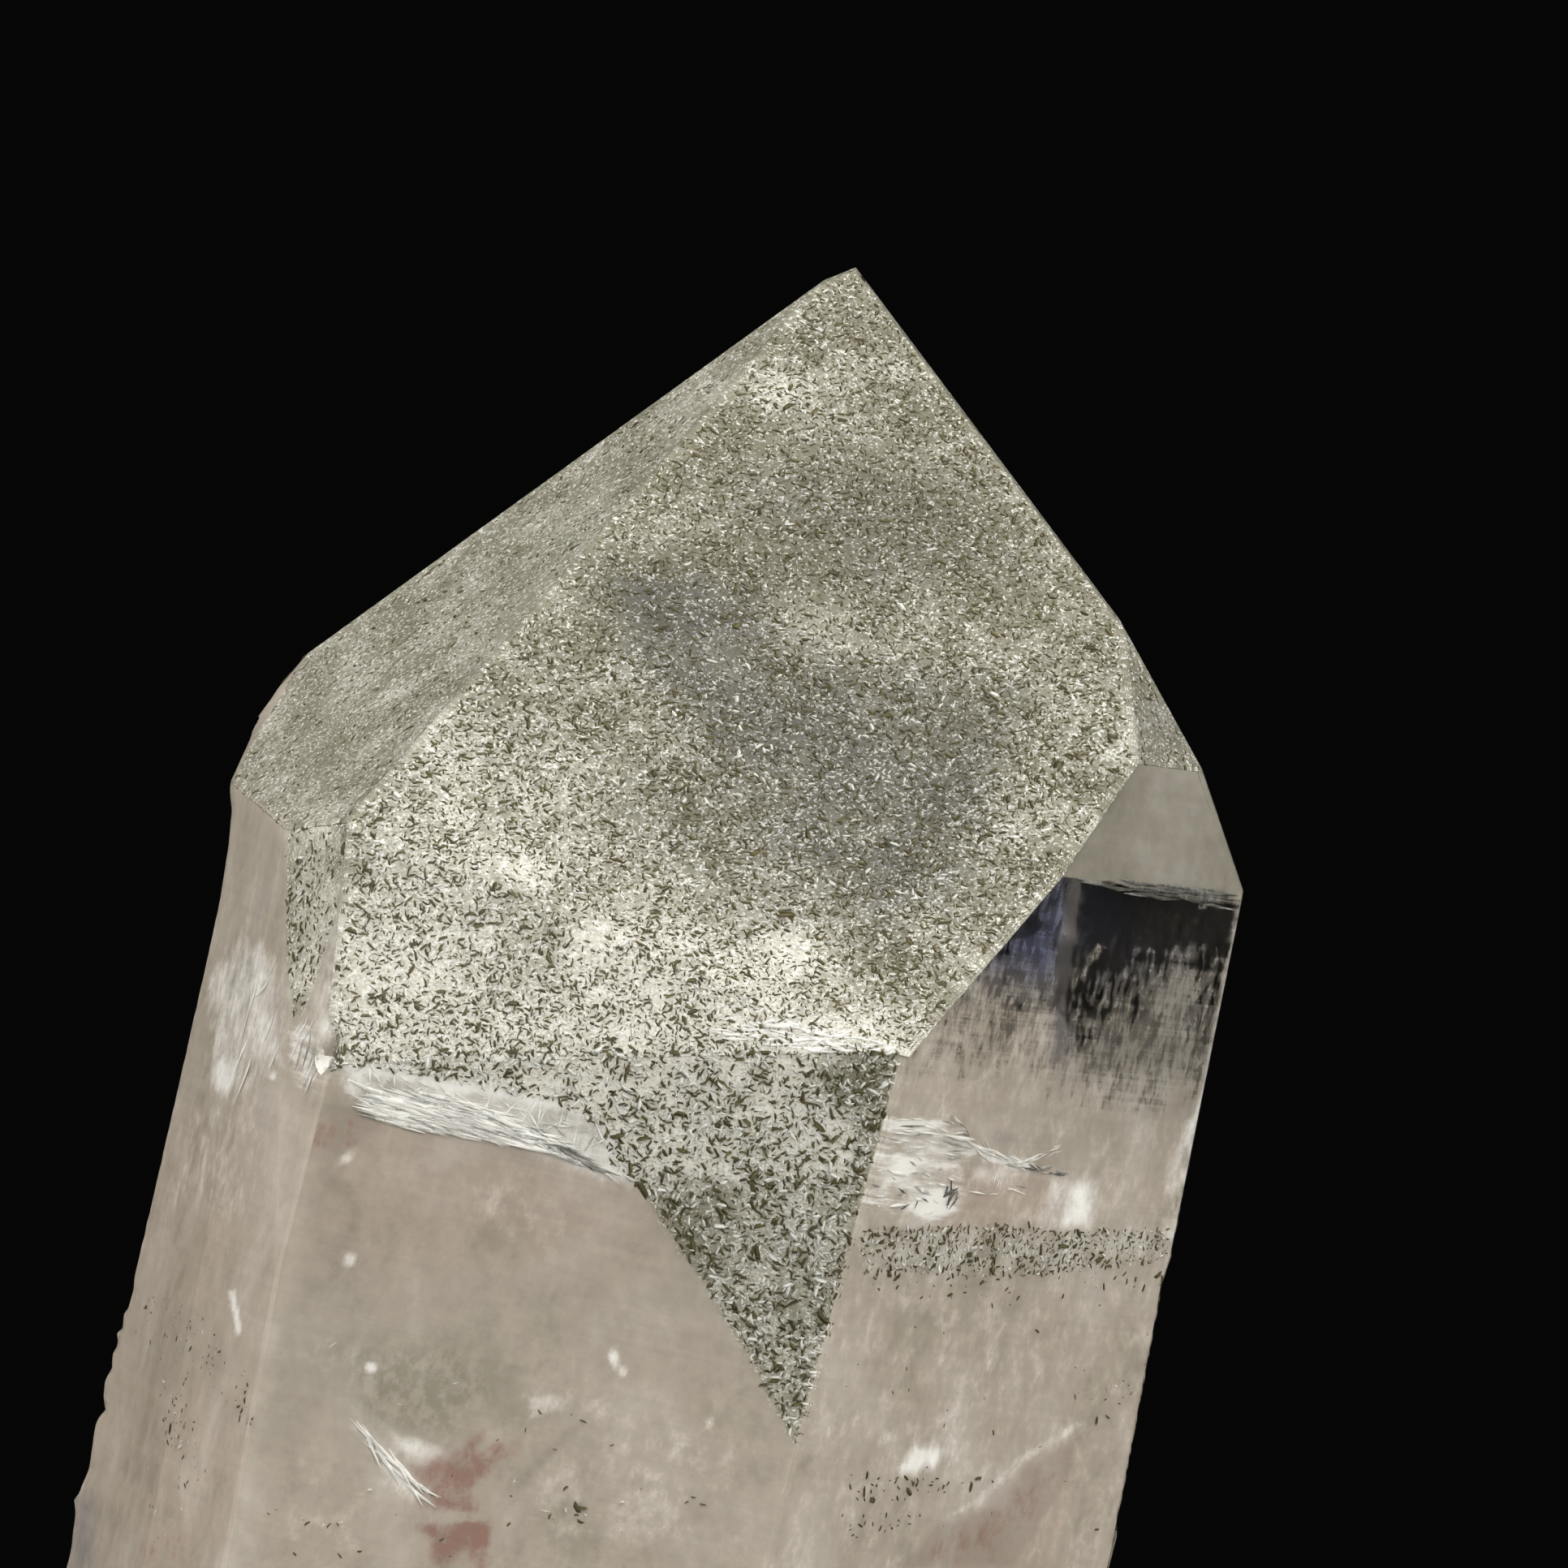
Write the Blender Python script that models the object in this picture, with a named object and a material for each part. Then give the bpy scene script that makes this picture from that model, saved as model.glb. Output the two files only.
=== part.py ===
"""A quartz crystal with a chlorite phantom: one natural point, 58 mm tall, standing on its flat cut foot.

The crystal's long axis is +Z and its wide main slope looks along -Y. The origin is where the axis meets the
cut. Every flat face is given by the way it looks (azimuth from -Y towards +X), how far it leans back from
upright, and its distance from a point on the axis at the height of the shoulder.
"""

import math

import bmesh
import bpy
from mathutils import Matrix, Vector, noise
from mathutils.bvhtree import BVHTree

MM = 0.001

# Heights along the axis
SHOULDER = 41.0 * MM
BLOCK = 90.0 * MM

# Angles of quartz, in degrees
RHOMB = 38.2
SIXTH = 60.0

# The six slopes at the tip and the small steep faces under them: azimuth, lean, distance from the shoulder point
SLOPES = {
    "main_slope": (1.0, 38.5, 7.09 * MM),
    "right_back_slope": (2 * SIXTH, 37.0, 11.23 * MM),
    "left_back_slope": (-2 * SIXTH, RHOMB, 13.02 * MM),
    "right_small_slope": (SIXTH, RHOMB, 11.83 * MM),
    "left_slope": (-SIXTH, RHOMB, 9.82 * MM),
    "back_small_slope": (3 * SIXTH, RHOMB, 14.4 * MM),
    "right_steep": (SIXTH, 7.5, 10.12 * MM),
    "front_steep": (-3.3, 17.6, 8.2 * MM),
    "left_front_steep": (-50.5, 4.0, 11.04 * MM),
    "left_steep": (-85.0, 15.0, 12.68 * MM),
}

# The upright faces, which widen a little towards the foot where they lean
SIDES = {
    "front_side": (0.0, 5.0, 8.9 * MM),
    "front_foot_side": (0.0, 0.0, 10.6 * MM),
    "right_front_side": (SIXTH, 0.5, 9.65 * MM),
    "right_rim": (93.0, 2.0, 11.83 * MM),
    "right_back_side": (2 * SIXTH, 1.0, 10.56 * MM),
    "back_side": (3 * SIXTH, 0.0, 10.8 * MM),
    "left_back_side": (-2 * SIXTH, 0.5, 12.6 * MM),
    "left_side": (-87.0, 0.0, 12.4 * MM),
    "left_front_outer_side": (-63.5, 0.0, 11.2 * MM),
    "left_front_side": (-57.0, 0.5, 11.16 * MM),
}

# Growth ledges that run round the upright faces
LEDGE_TOP = 40.2 * MM
LEDGE_FOOT = 1.6 * MM
LEDGE_PITCH = 1.45 * MM
LEDGE_RISE = 0.12 * MM
LEDGE_DEPTH = 0.07 * MM

# How unevenly the ledges follow each other, as a share of the pitch, and how fast that changes with height
PITCH_DRIFT = 0.55
DRIFT_PER_MM = 0.61
DRIFT_PLACE = (3.7, 1.9)
# How far apart in the noise two neighbouring ledges are, and how much it changes round the crystal
BAND_STEP = 5.31
BAND_TURN = 0.9
BAND_PLACE = 11.0

# How far the right and left outlines step in (-) or out (+) at these heights
RIGHT_OUTLINE = (
    (37.3 * MM, 0.0),
    (36.9 * MM, -0.02 * MM),
    (36.2 * MM, -0.3 * MM),
    (35.4 * MM, -0.26 * MM),
    (33.2 * MM, -0.12 * MM),
    (31.2 * MM, -0.02 * MM),
    (30.7 * MM, -0.06 * MM),
    (30.2 * MM, 0.16 * MM),
    (29.2 * MM, 0.02 * MM),
    (27.5 * MM, 0.0),
)
LEFT_OUTLINE = (
    (42.5 * MM, 0.0),
    (41.6 * MM, -0.3 * MM),
    (40.4 * MM, -0.4 * MM),
    (39.0 * MM, -0.36 * MM),
    (36.0 * MM, -0.32 * MM),
    (33.0 * MM, -0.32 * MM),
    (31.2 * MM, -0.28 * MM),
    (30.4 * MM, -0.22 * MM),
    (29.9 * MM, -0.26 * MM),
    (29.5 * MM, -0.12 * MM),
    (29.0 * MM, -0.16 * MM),
    (28.3 * MM, 0.0),
    (27.8 * MM, -0.2 * MM),
    (27.5 * MM, 0.0),
    (26.4 * MM, -0.1 * MM),
    (25.7 * MM, -0.1 * MM),
    (25.4 * MM, 0.1 * MM),
    (24.6 * MM, -0.1 * MM),
    (22.0 * MM, 0.0),
)
RIGHT_EDGE_AZIMUTH = 90.0
LEFT_EDGE_AZIMUTH = -90.0
OUTLINE_SPREAD = 28.0

# Shell-shaped chips: azimuth and height of the middle, ball radius, how deep the ball bites
CHIPS = {
    "chip_left_front_edge": (-38.6, 38.3 * MM, 1.1 * MM, 0.22 * MM),
    "chip_front_edge": (31.0, 17.4 * MM, 2.2 * MM, 0.35 * MM),
    "chip_foot_front": (8.0, 0.4 * MM, 3.4 * MM, 0.9 * MM),
    "chip_foot_front_left": (-36.0, 0.0, 3.0 * MM, 1.1 * MM),
    "chip_foot_right": (58.0, 0.6 * MM, 3.8 * MM, 0.8 * MM),
    "chip_foot_right_corner": (92.0, -0.2 * MM, 2.9 * MM, 1.1 * MM),
    "chip_foot_back": (165.0, 0.3 * MM, 4.2 * MM, 0.8 * MM),
    "chip_foot_back_corner": (-142.0, 0.0, 3.3 * MM, 1.2 * MM),
    "chip_foot_left": (-88.0, 0.5 * MM, 3.6 * MM, 0.7 * MM),
}

# Clear quartz
QUARTZ_COLOUR = (0.80, 0.77, 0.70, 1.0)
QUARTZ_IOR = 1.544
QUARTZ_ROUGHNESS = 0.06


def clear_scene():
    for obj in list(bpy.data.objects):
        bpy.data.objects.remove(obj, do_unlink=True)


def clear_quartz():
    material = bpy.data.materials.new("clear_quartz")
    material.use_nodes = True
    shader = material.node_tree.nodes["Principled BSDF"]
    shader.inputs["Base Color"].default_value = QUARTZ_COLOUR
    shader.inputs["Roughness"].default_value = QUARTZ_ROUGHNESS
    shader.inputs["Metallic"].default_value = 0.0
    shader.inputs["IOR"].default_value = QUARTZ_IOR
    shader.inputs["Transmission Weight"].default_value = 1.0
    return material


def level_way(azimuth):
    """The level direction that this azimuth looks along."""
    turn = math.radians(azimuth)
    return Vector((math.sin(turn), -math.cos(turn), 0.0))


def face_normal(azimuth, lean):
    tilt = math.radians(lean)
    return level_way(azimuth) * math.cos(tilt) + Vector((0.0, 0.0, math.sin(tilt)))


def trim(bm, point, normal):
    """Cuts the block along a plane, drops what is outside it and closes the cut."""
    everything = bm.verts[:] + bm.edges[:] + bm.faces[:]
    cut = bmesh.ops.bisect_plane(bm, geom=everything, plane_co=point, plane_no=normal, clear_outer=True)
    rim = [item for item in cut["geom_cut"] if isinstance(item, bmesh.types.BMEdge)]
    if rim:
        bmesh.ops.edgeloop_fill(bm, edges=rim)


def add_level_line(bm, height):
    everything = bm.verts[:] + bm.edges[:] + bm.faces[:]
    bmesh.ops.bisect_plane(bm, geom=everything, plane_co=(0.0, 0.0, height), plane_no=(0.0, 0.0, 1.0))


def between(knots, height):
    """The value at this height on straight runs between the knots, listed from the top down."""
    if height >= knots[0][0] or height <= knots[-1][0]:
        return 0.0
    for (high, upper), (low, lower) in zip(knots, knots[1:]):
        if height >= low:
            share = (high - height) / (high - low)
            return upper + (lower - upper) * share
    return 0.0


def azimuth_of(point):
    return math.degrees(math.atan2(point.x, -point.y))


def near_azimuth(point, azimuth):
    """1 at this azimuth, fading to 0 over the outline's spread."""
    away = abs((azimuth_of(point) - azimuth + 180.0) % 360.0 - 180.0)
    return max(0.0, 1.0 - away / OUTLINE_SPREAD)


def ledge_heights():
    heights = []
    height = LEDGE_TOP
    while height > LEDGE_FOOT:
        heights.append(height)
        drift = noise.noise(Vector((height / MM * DRIFT_PER_MM, *DRIFT_PLACE)))
        height -= LEDGE_PITCH * (1.0 + PITCH_DRIFT * drift)
    return heights


def grow_ledges(bm):
    """Lays two level lines at each ledge, then shifts each band between them in or out."""
    heights = ledge_heights()
    extra = [height for height, _ in RIGHT_OUTLINE + LEFT_OUTLINE]
    for height in heights:
        add_level_line(bm, height)
        add_level_line(bm, height - LEDGE_RISE)
    for height in extra:
        if min(abs(height - other) for other in heights) > 2 * LEDGE_RISE:
            add_level_line(bm, height)
    for vert in bm.verts:
        point = vert.co
        way = Vector((point.x, point.y, 0.0)).normalized()
        out = 0.0
        if LEDGE_FOOT < point.z < LEDGE_TOP - LEDGE_RISE / 2:
            band = sum(point.z < height - LEDGE_RISE / 2 for height in heights)
            place = Vector((band * BAND_STEP, way.x * BAND_TURN, way.y * BAND_TURN + BAND_PLACE))
            out = LEDGE_DEPTH * noise.noise(place)
        out += between(RIGHT_OUTLINE, point.z) * near_azimuth(point, RIGHT_EDGE_AZIMUTH)
        out += between(LEFT_OUTLINE, point.z) * near_azimuth(point, LEFT_EDGE_AZIMUTH)
        vert.co = point + way * out


def surface_point(bm, azimuth, height):
    """Where a level ray from the axis leaves the crystal."""
    tree = BVHTree.FromBMesh(bm)
    start = Vector((0.0, 0.0, max(height, LEDGE_RISE)))
    hit = tree.ray_cast(start, level_way(azimuth))[0]
    return Vector((hit.x, hit.y, height))


def shape_crystal():
    bm = bmesh.new()
    middle = Matrix.Translation((0.0, 0.0, BLOCK / 2))
    bmesh.ops.create_cube(bm, size=BLOCK, matrix=middle)
    shoulder_point = Vector((0.0, 0.0, SHOULDER))
    for azimuth, lean, distance in list(SIDES.values()) + list(SLOPES.values()):
        normal = face_normal(azimuth, lean)
        trim(bm, shoulder_point + normal * distance, normal)
    grow_ledges(bm)
    return bm


def chip_cutter(bm, name, azimuth, height, radius, bite):
    """A ball that overlaps the crystal's edge by the depth of the bite."""
    edge = surface_point(bm, azimuth, height)
    centre = edge + level_way(azimuth) * (radius - bite)
    mesh = bpy.data.meshes.new(name)
    ball = bmesh.new()
    bmesh.ops.create_icosphere(ball, subdivisions=2, radius=radius, matrix=Matrix.Translation(centre))
    ball.to_mesh(mesh)
    ball.free()
    cutter = bpy.data.objects.new(name, mesh)
    cutter.hide_render = True
    cutter.display_type = "WIRE"
    bpy.context.scene.collection.objects.link(cutter)
    return cutter


def main():
    clear_scene()
    bm = shape_crystal()
    cutters = [chip_cutter(bm, name, *chip) for name, chip in CHIPS.items()]
    bmesh.ops.triangulate(bm, faces=bm.faces[:])
    mesh = bpy.data.meshes.new("quartz_crystal")
    bm.to_mesh(mesh)
    bm.free()
    crystal = bpy.data.objects.new("quartz_crystal", mesh)
    crystal.data.materials.append(clear_quartz())
    bpy.context.scene.collection.objects.link(crystal)
    for cutter in cutters:
        chip = crystal.modifiers.new(cutter.name, "BOOLEAN")
        chip.operation = "DIFFERENCE"
        chip.solver = "EXACT"
        chip.object = cutter


main()
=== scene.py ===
"""The looks of a quartz crystal with a chlorite phantom.

The clear quartz is the model's own solid. Inside it, a hair under its flat faces, lie thin pale films of fine
dust and haze, thousands of dark chlorite flakes, a silvery crack and a few iron stains. Lengths are in metres
and places in the crystal are given in the frame of the model: +Z is its long axis, -Y the way its wide main
slope looks. Marks that were placed one by one are given as points of a square picture, 1932 points a side, in
which x runs to the right and y runs down.
"""

import math

import bmesh
import bpy
import numpy as np
from mathutils import Matrix, Vector, noise


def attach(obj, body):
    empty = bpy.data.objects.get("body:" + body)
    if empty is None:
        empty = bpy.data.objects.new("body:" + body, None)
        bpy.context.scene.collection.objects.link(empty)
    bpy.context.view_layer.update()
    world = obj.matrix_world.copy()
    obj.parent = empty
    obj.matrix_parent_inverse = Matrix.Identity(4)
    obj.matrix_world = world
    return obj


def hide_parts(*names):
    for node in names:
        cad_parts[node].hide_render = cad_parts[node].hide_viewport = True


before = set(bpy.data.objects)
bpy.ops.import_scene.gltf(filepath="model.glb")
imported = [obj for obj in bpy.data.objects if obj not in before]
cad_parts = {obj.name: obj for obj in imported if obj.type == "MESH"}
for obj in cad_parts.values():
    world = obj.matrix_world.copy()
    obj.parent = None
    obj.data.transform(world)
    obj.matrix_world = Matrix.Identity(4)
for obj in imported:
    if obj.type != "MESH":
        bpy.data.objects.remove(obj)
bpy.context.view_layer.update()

MM = 0.001

# The camera: where it looks from, and how large a point of the picture is at the crystal
VIEW_AZIMUTH = math.radians(8.958)
VIEW_ELEVATION = math.radians(3.516)
VIEW_ROLL = math.radians(12.179)
AIM_RIGHT = 0.509 * MM
AIM_UP = 30.679 * MM
AIM_BASE = np.array((0.0, 0.0, 15.14 * MM))
DISTANCE = 320.0 * MM
PICTURE = 1932
POINT_SIZE = 0.0192 * MM
SENSOR = 36.0

BACK = np.array(
    (
        math.cos(VIEW_ELEVATION) * math.sin(VIEW_AZIMUTH),
        -math.cos(VIEW_ELEVATION) * math.cos(VIEW_AZIMUTH),
        math.sin(VIEW_ELEVATION),
    )
)
LEVEL_RIGHT = np.array((math.cos(VIEW_AZIMUTH), math.sin(VIEW_AZIMUTH), 0.0))
LEVEL_UP = np.cross(BACK, LEVEL_RIGHT)
CAMERA_X = math.cos(VIEW_ROLL) * LEVEL_RIGHT + math.sin(VIEW_ROLL) * LEVEL_UP
CAMERA_Y = -math.sin(VIEW_ROLL) * LEVEL_RIGHT + math.cos(VIEW_ROLL) * LEVEL_UP
EYE = AIM_BASE + AIM_RIGHT * LEVEL_RIGHT + AIM_UP * LEVEL_UP + DISTANCE * BACK
FOCUS = DISTANCE / POINT_SIZE

# The crystal's flat faces: azimuth from -Y towards +X, lean back from upright, distance from the shoulder point
SHOULDER = np.array((0.0, 0.0, 41.0 * MM))
FACES = {
    "main_slope": (1.0, 38.5, 7.09 * MM),
    "right_back_slope": (120.0, 37.0, 11.23 * MM),
    "left_back_slope": (-120.0, 38.2, 13.02 * MM),
    "right_small_slope": (60.0, 38.2, 11.83 * MM),
    "left_slope": (-60.0, 38.2, 9.82 * MM),
    "back_small_slope": (180.0, 38.2, 14.4 * MM),
    "right_steep": (60.0, 7.5, 10.12 * MM),
    "front_steep": (-3.3, 17.6, 8.2 * MM),
    "left_front_steep": (-50.5, 4.0, 11.04 * MM),
    "left_steep": (-85.0, 15.0, 12.68 * MM),
    "front_side": (0.0, 5.0, 8.9 * MM),
    "front_foot_side": (0.0, 0.0, 10.6 * MM),
    "right_front_side": (60.0, 0.5, 9.65 * MM),
    "right_rim": (93.0, 2.0, 11.83 * MM),
    "right_back_side": (120.0, 1.0, 10.56 * MM),
    "back_side": (180.0, 0.0, 10.8 * MM),
    "left_back_side": (-120.0, 0.5, 12.6 * MM),
    "left_side": (-87.0, 0.0, 12.4 * MM),
    "left_front_outer_side": (-63.5, 0.0, 11.2 * MM),
    "left_front_side": (-57.0, 0.5, 11.16 * MM),
}
QUARTZ_IOR = 1.544

# How deep under its face each film of dust or haze lies
DUST_DEPTH = 0.16 * MM
HAZE_DEPTH = 0.19 * MM
FLAKE_DEPTH = 0.148 * MM
RIM_DEPTH = 0.03 * MM
# Faces that meet the front ones at the outline: films of the front reach nearly to the skin there
BACK_FACES = ("right_back_slope", "left_back_slope", "back_small_slope", "right_rim", "right_back_side",
              "back_side", "left_back_side")
# The dust of these faces reaches the edge it shares with a neighbour
FULL_EDGES = {
    "main_slope": ("right_front_side", "right_steep", "left_front_steep", "left_slope", "right_small_slope"),
    "front_steep": ("right_front_side", "left_front_steep"),
}
FILM = 0.02 * MM
FILM_FOOT = 0.2 * MM
COARSE_BELOW = -18.0 * MM


def face_normal(face):
    azimuth, lean = (math.radians(angle) for angle in FACES[face][:2])
    level = np.array((math.sin(azimuth), -math.cos(azimuth), 0.0))
    return level * math.cos(lean) + np.array((0.0, 0.0, math.sin(lean)))


def face_point(face, depth):
    return SHOULDER + face_normal(face) * (FACES[face][2] - depth)


def picture_points(places):
    """Where places in the frame come in the picture."""
    away = places - EYE
    scale = FOCUS / -(away @ BACK)
    x = PICTURE / 2 + (away @ CAMERA_X) * scale
    y = PICTURE / 2 - (away @ CAMERA_Y) * scale
    return x, y


def bent_ways(x, y, normal):
    """The ways that sight lines through picture points run, before and after they enter a face."""
    right = (np.asarray(x, float)[..., None] - PICTURE / 2) / FOCUS
    down = (np.asarray(y, float)[..., None] - PICTURE / 2) / FOCUS
    way = CAMERA_X * right - CAMERA_Y * down - BACK
    way = way / np.linalg.norm(way, axis=-1, keepdims=True)
    slant = -(way @ normal)[..., None]
    inside_slant = np.sqrt(1.0 - (1.0 - slant**2) / QUARTZ_IOR**2)
    bent = way / QUARTZ_IOR + normal * (slant / QUARTZ_IOR - inside_slant)
    return way, bent


def place_under(face, x, y, depth):
    """The place at this depth under a face that shows at a picture point."""
    normal = face_normal(face)
    way, bent = bent_ways(x, y, normal)
    to_face = (face_point(face, 0.0) - EYE) @ normal / (way @ normal)
    on_face = EYE + way * to_face[..., None]
    return on_face + bent * (depth / -(bent @ normal))[..., None]


def seen_at(face, places, depth):
    """Where places at this depth under a face show in the picture."""
    normal = face_normal(face)
    x, y = picture_points(places)
    for _ in range(2):
        _, bent = bent_ways(x, y, normal)
        x, y = picture_points(places - bent * (depth / -(bent @ normal))[..., None])
    return x, y


def inside(outline, x, y, soft):
    """1 within a closed outline in the picture and 0 outside, with a border this wide between the two."""
    near = np.full(np.shape(x), 1e9)
    within = np.zeros(np.shape(x), bool)
    for (ax, ay), (bx, by) in zip(outline, outline[1:] + outline[:1]):
        length = (bx - ax) ** 2 + (by - ay) ** 2
        share = np.clip(((x - ax) * (bx - ax) + (y - ay) * (by - ay)) / length, 0.0, 1.0)
        near = np.minimum(near, np.hypot(x - ax - share * (bx - ax), y - ay - share * (by - ay)))
        if ay != by:
            crossing = ((ay > y) != (by > y)) & (x < (bx - ax) * (y - ay) / (by - ay) + ax)
            within ^= crossing
    signed = np.where(within, near, -near)
    return ease(signed / soft + 0.5)


def ease(value):
    value = np.clip(value, 0.0, 1.0)
    return value * value * (3.0 - 2.0 * value)


def blot(x, y, middle, radii, turn=0.0):
    """1 in the middle of an oval and 0 from its rim outwards."""
    angle = math.radians(turn)
    dx, dy = x - middle[0], y - middle[1]
    along = (dx * math.cos(angle) + dy * math.sin(angle)) / radii[0]
    across = (dy * math.cos(angle) - dx * math.sin(angle)) / radii[1]
    return ease(1.0 - np.hypot(along, across))


def trim(bm, point, normal, outer=True, fill=False):
    """Cuts along a plane, and can drop what is outside it and close the cut."""
    everything = bm.verts[:] + bm.edges[:] + bm.faces[:]
    cut = bmesh.ops.bisect_plane(bm, geom=everything, plane_co=point, plane_no=normal, clear_outer=outer)
    if fill:
        rim = [item for item in cut["geom_cut"] if isinstance(item, bmesh.types.BMEdge)]
        if rim:
            bmesh.ops.edgeloop_fill(bm, edges=rim)


class Socket:
    """A node's output used as a number: every operator adds one Math node."""

    def __init__(self, output):
        self.output = output

    def maths(self, operation, first, second):
        tree = self.output.id_data
        return add_node(tree, "ShaderNodeMath", {"operation": operation}, {0: first, 1: second})

    def __add__(self, other):
        return self.maths("ADD", self, other)

    def __radd__(self, other):
        return self.maths("ADD", other, self)

    def __sub__(self, other):
        return self.maths("SUBTRACT", self, other)

    def __rsub__(self, other):
        return self.maths("SUBTRACT", other, self)

    def __mul__(self, other):
        return self.maths("MULTIPLY", self, other)

    def __rmul__(self, other):
        return self.maths("MULTIPLY", other, self)

    def __truediv__(self, other):
        return self.maths("DIVIDE", self, other)

    def __pow__(self, other):
        return self.maths("POWER", self, other)


def add_node(tree, kind, settings, inputs, result=0):
    """Adds a node: its settings first, then its sockets' values or links. Gives one output."""
    node = tree.nodes.new(kind)
    for name, value in settings.items():
        if name == "stops":
            ramp = node.color_ramp
            while len(ramp.elements) < len(value):
                ramp.elements.new(1.0)
            for element, (position, colour) in zip(ramp.elements, value):
                element.position = position
                element.color = colour
        else:
            setattr(node, name, value)
    for name, value in inputs.items():
        if isinstance(value, Socket):
            tree.links.new(value.output, node.inputs[name])
        else:
            node.inputs[name].default_value = value
    return Socket(node.outputs[result])


class Finish:
    """A Principled material under construction."""

    def __init__(self, name):
        self.material = bpy.data.materials.new(name)
        self.material.use_nodes = True
        self.tree = self.material.node_tree
        self.shader = self.tree.nodes["Principled BSDF"]
        self.places = add_node(self.tree, "ShaderNodeTexCoord", {}, {}, "Object")

    def add(self, kind, settings, inputs, result=0):
        return add_node(self.tree, kind, settings, inputs, result)

    def stretched(self, scale):
        """Object coordinates in millimetres, stretched."""
        size = tuple(1000.0 * share for share in scale)
        return self.add("ShaderNodeMapping", {}, {"Vector": self.places, "Scale": size})

    def noise(self, vector, scale, detail=2.0, roughness=0.5, distortion=0.0):
        values = {"Vector": vector, "Scale": scale, "Detail": detail, "Roughness": roughness, "Distortion": distortion}
        return self.add("ShaderNodeTexNoise", {}, values)

    def attribute(self, name):
        return self.add("ShaderNodeAttribute", {"attribute_name": name}, {}, "Fac")

    def ramp(self, value, low, high):
        """0 below low, 1 above high, eased between."""
        settings = {"interpolation_type": "SMOOTHSTEP", "clamp": True}
        return self.add("ShaderNodeMapRange", settings, {"Value": value, "From Min": low, "From Max": high})

    def mix(self, share, first, second):
        settings = {"data_type": "RGBA", "clamp_factor": True}
        return self.add("ShaderNodeMix", settings, {0: share, 6: first, 7: second}, 2)

    def shade(self, colour, share):
        """A colour multiplied by a number."""
        return self.add("ShaderNodeVectorMath", {"operation": "SCALE"}, {0: colour, "Scale": share})

    def set(self, **values):
        for name, value in values.items():
            socket = self.shader.inputs[name.replace("_", " ")]
            if isinstance(value, Socket):
                self.tree.links.new(value.output, socket)
            else:
                socket.default_value = value


def quartz_finish():
    """Clear quartz: flat shiny faces with fine level growth lines on the upright ones."""
    finish = Finish("clear_quartz_skin")
    height = finish.add("ShaderNodeSeparateXYZ", {}, {0: finish.places}, "Z")
    upright = finish.ramp(height, 45.0 * MM, 43.0 * MM)
    lines = finish.noise(finish.stretched((0.1, 0.1, 3.4)), 1.0, 4.0, 0.65)
    waves = finish.noise(finish.stretched((0.16, 0.16, 0.22)), 1.0, 2.0)
    relief = lines * (0.0012 * upright + 0.0002) + waves * 0.004
    bump = finish.add("ShaderNodeBump", {}, {"Strength": 1.0, "Distance": 0.02 * MM, "Height": relief * 200.0}, "Normal")
    finish.set(
        Base_Color=(1.0, 0.992, 0.975, 1.0),
        Roughness=0.015,
        IOR=QUARTZ_IOR,
        Transmission_Weight=1.0,
        Normal=bump,
    )
    absorb = finish.tree.nodes.new("ShaderNodeVolumeAbsorption")
    absorb.inputs["Color"].default_value = (0.93, 0.9, 0.84, 1.0)
    absorb.inputs["Density"].default_value = 9.0
    out = finish.tree.nodes["Material Output"]
    finish.tree.links.new(absorb.outputs[0], out.inputs["Volume"])
    return finish.material


# How far the left and right faces step in (-) or out (+) at these heights, listed from the top down
LEFT_STEPS = (
    (46.2, 0.0),
    (45.6, 0.1),
    (44.7, 0.17),
    (44.2, 0.12),
    (44.0, 0.22),
    (43.7, 0.05),
    (43.3, 0.1),
    (42.9, -0.1),
    (42.5, -0.24),
    (41.6, -0.4),
    (40.4, -0.5),
    (39.0, -0.5),
    (36.0, -0.44),
    (33.0, -0.38),
    (31.2, -0.32),
    (30.9, -0.38),
    (30.4, -0.34),
    (30.2, -0.22),
    (29.9, -0.3),
    (29.7, -0.12),
    (29.5, -0.26),
    (29.2, -0.12),
    (28.9, -0.22),
    (28.5, -0.06),
    (28.1, -0.14),
    (27.9, -0.32),
    (27.7, -0.16),
    (27.5, -0.06),
    (26.4, -0.16),
    (25.8, 0.0),
    (25.5, 0.14),
    (25.3, -0.02),
    (24.4, -0.14),
    (22.0, 0.0),
)
RIGHT_STEPS = (
    (37.6, 0.0),
    (37.0, 0.05),
    (36.9, -0.02),
    (36.3, -0.28),
    (35.6, -0.2),
    (33.2, -0.1),
    (31.2, -0.02),
    (30.8, -0.08),
    (30.5, 0.02),
    (30.2, 0.2),
    (29.6, 0.04),
    (28.5, 0.02),
    (28.1, -0.16),
    (26.2, -0.15),
    (25.4, -0.1),
    (24.8, 0.0),
)
# The faces that step: the steps and how much of them
STEPPED = {
    "left_side": (LEFT_STEPS, 1.0),
    "left_steep": (LEFT_STEPS, 1.0),
    "left_back_side": (LEFT_STEPS, 0.4),
    "right_rim": (RIGHT_STEPS, 1.0),
    "right_back_side": (RIGHT_STEPS, 0.4),
}
SKIN_TOP = 46.4
SKIN_FINE_FOOT = 20.0
SKIN_FINE_PITCH = 0.11
SKIN_PITCH = 0.9
LINE_DEPTH = 0.0035
TOOTH_DEPTH = 0.022
TOUCH = 0.002 * MM
CORNER_REACH = 0.7 * MM


def between(knots, height):
    """The value at this height on straight runs between the knots, listed from the top down."""
    if height >= knots[0][0] or height <= knots[-1][0]:
        return 0.0
    for (high, upper), (low, lower) in zip(knots, knots[1:]):
        if height >= low:
            return upper + (lower - upper) * (high - height) / (high - low)
    return 0.0


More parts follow.
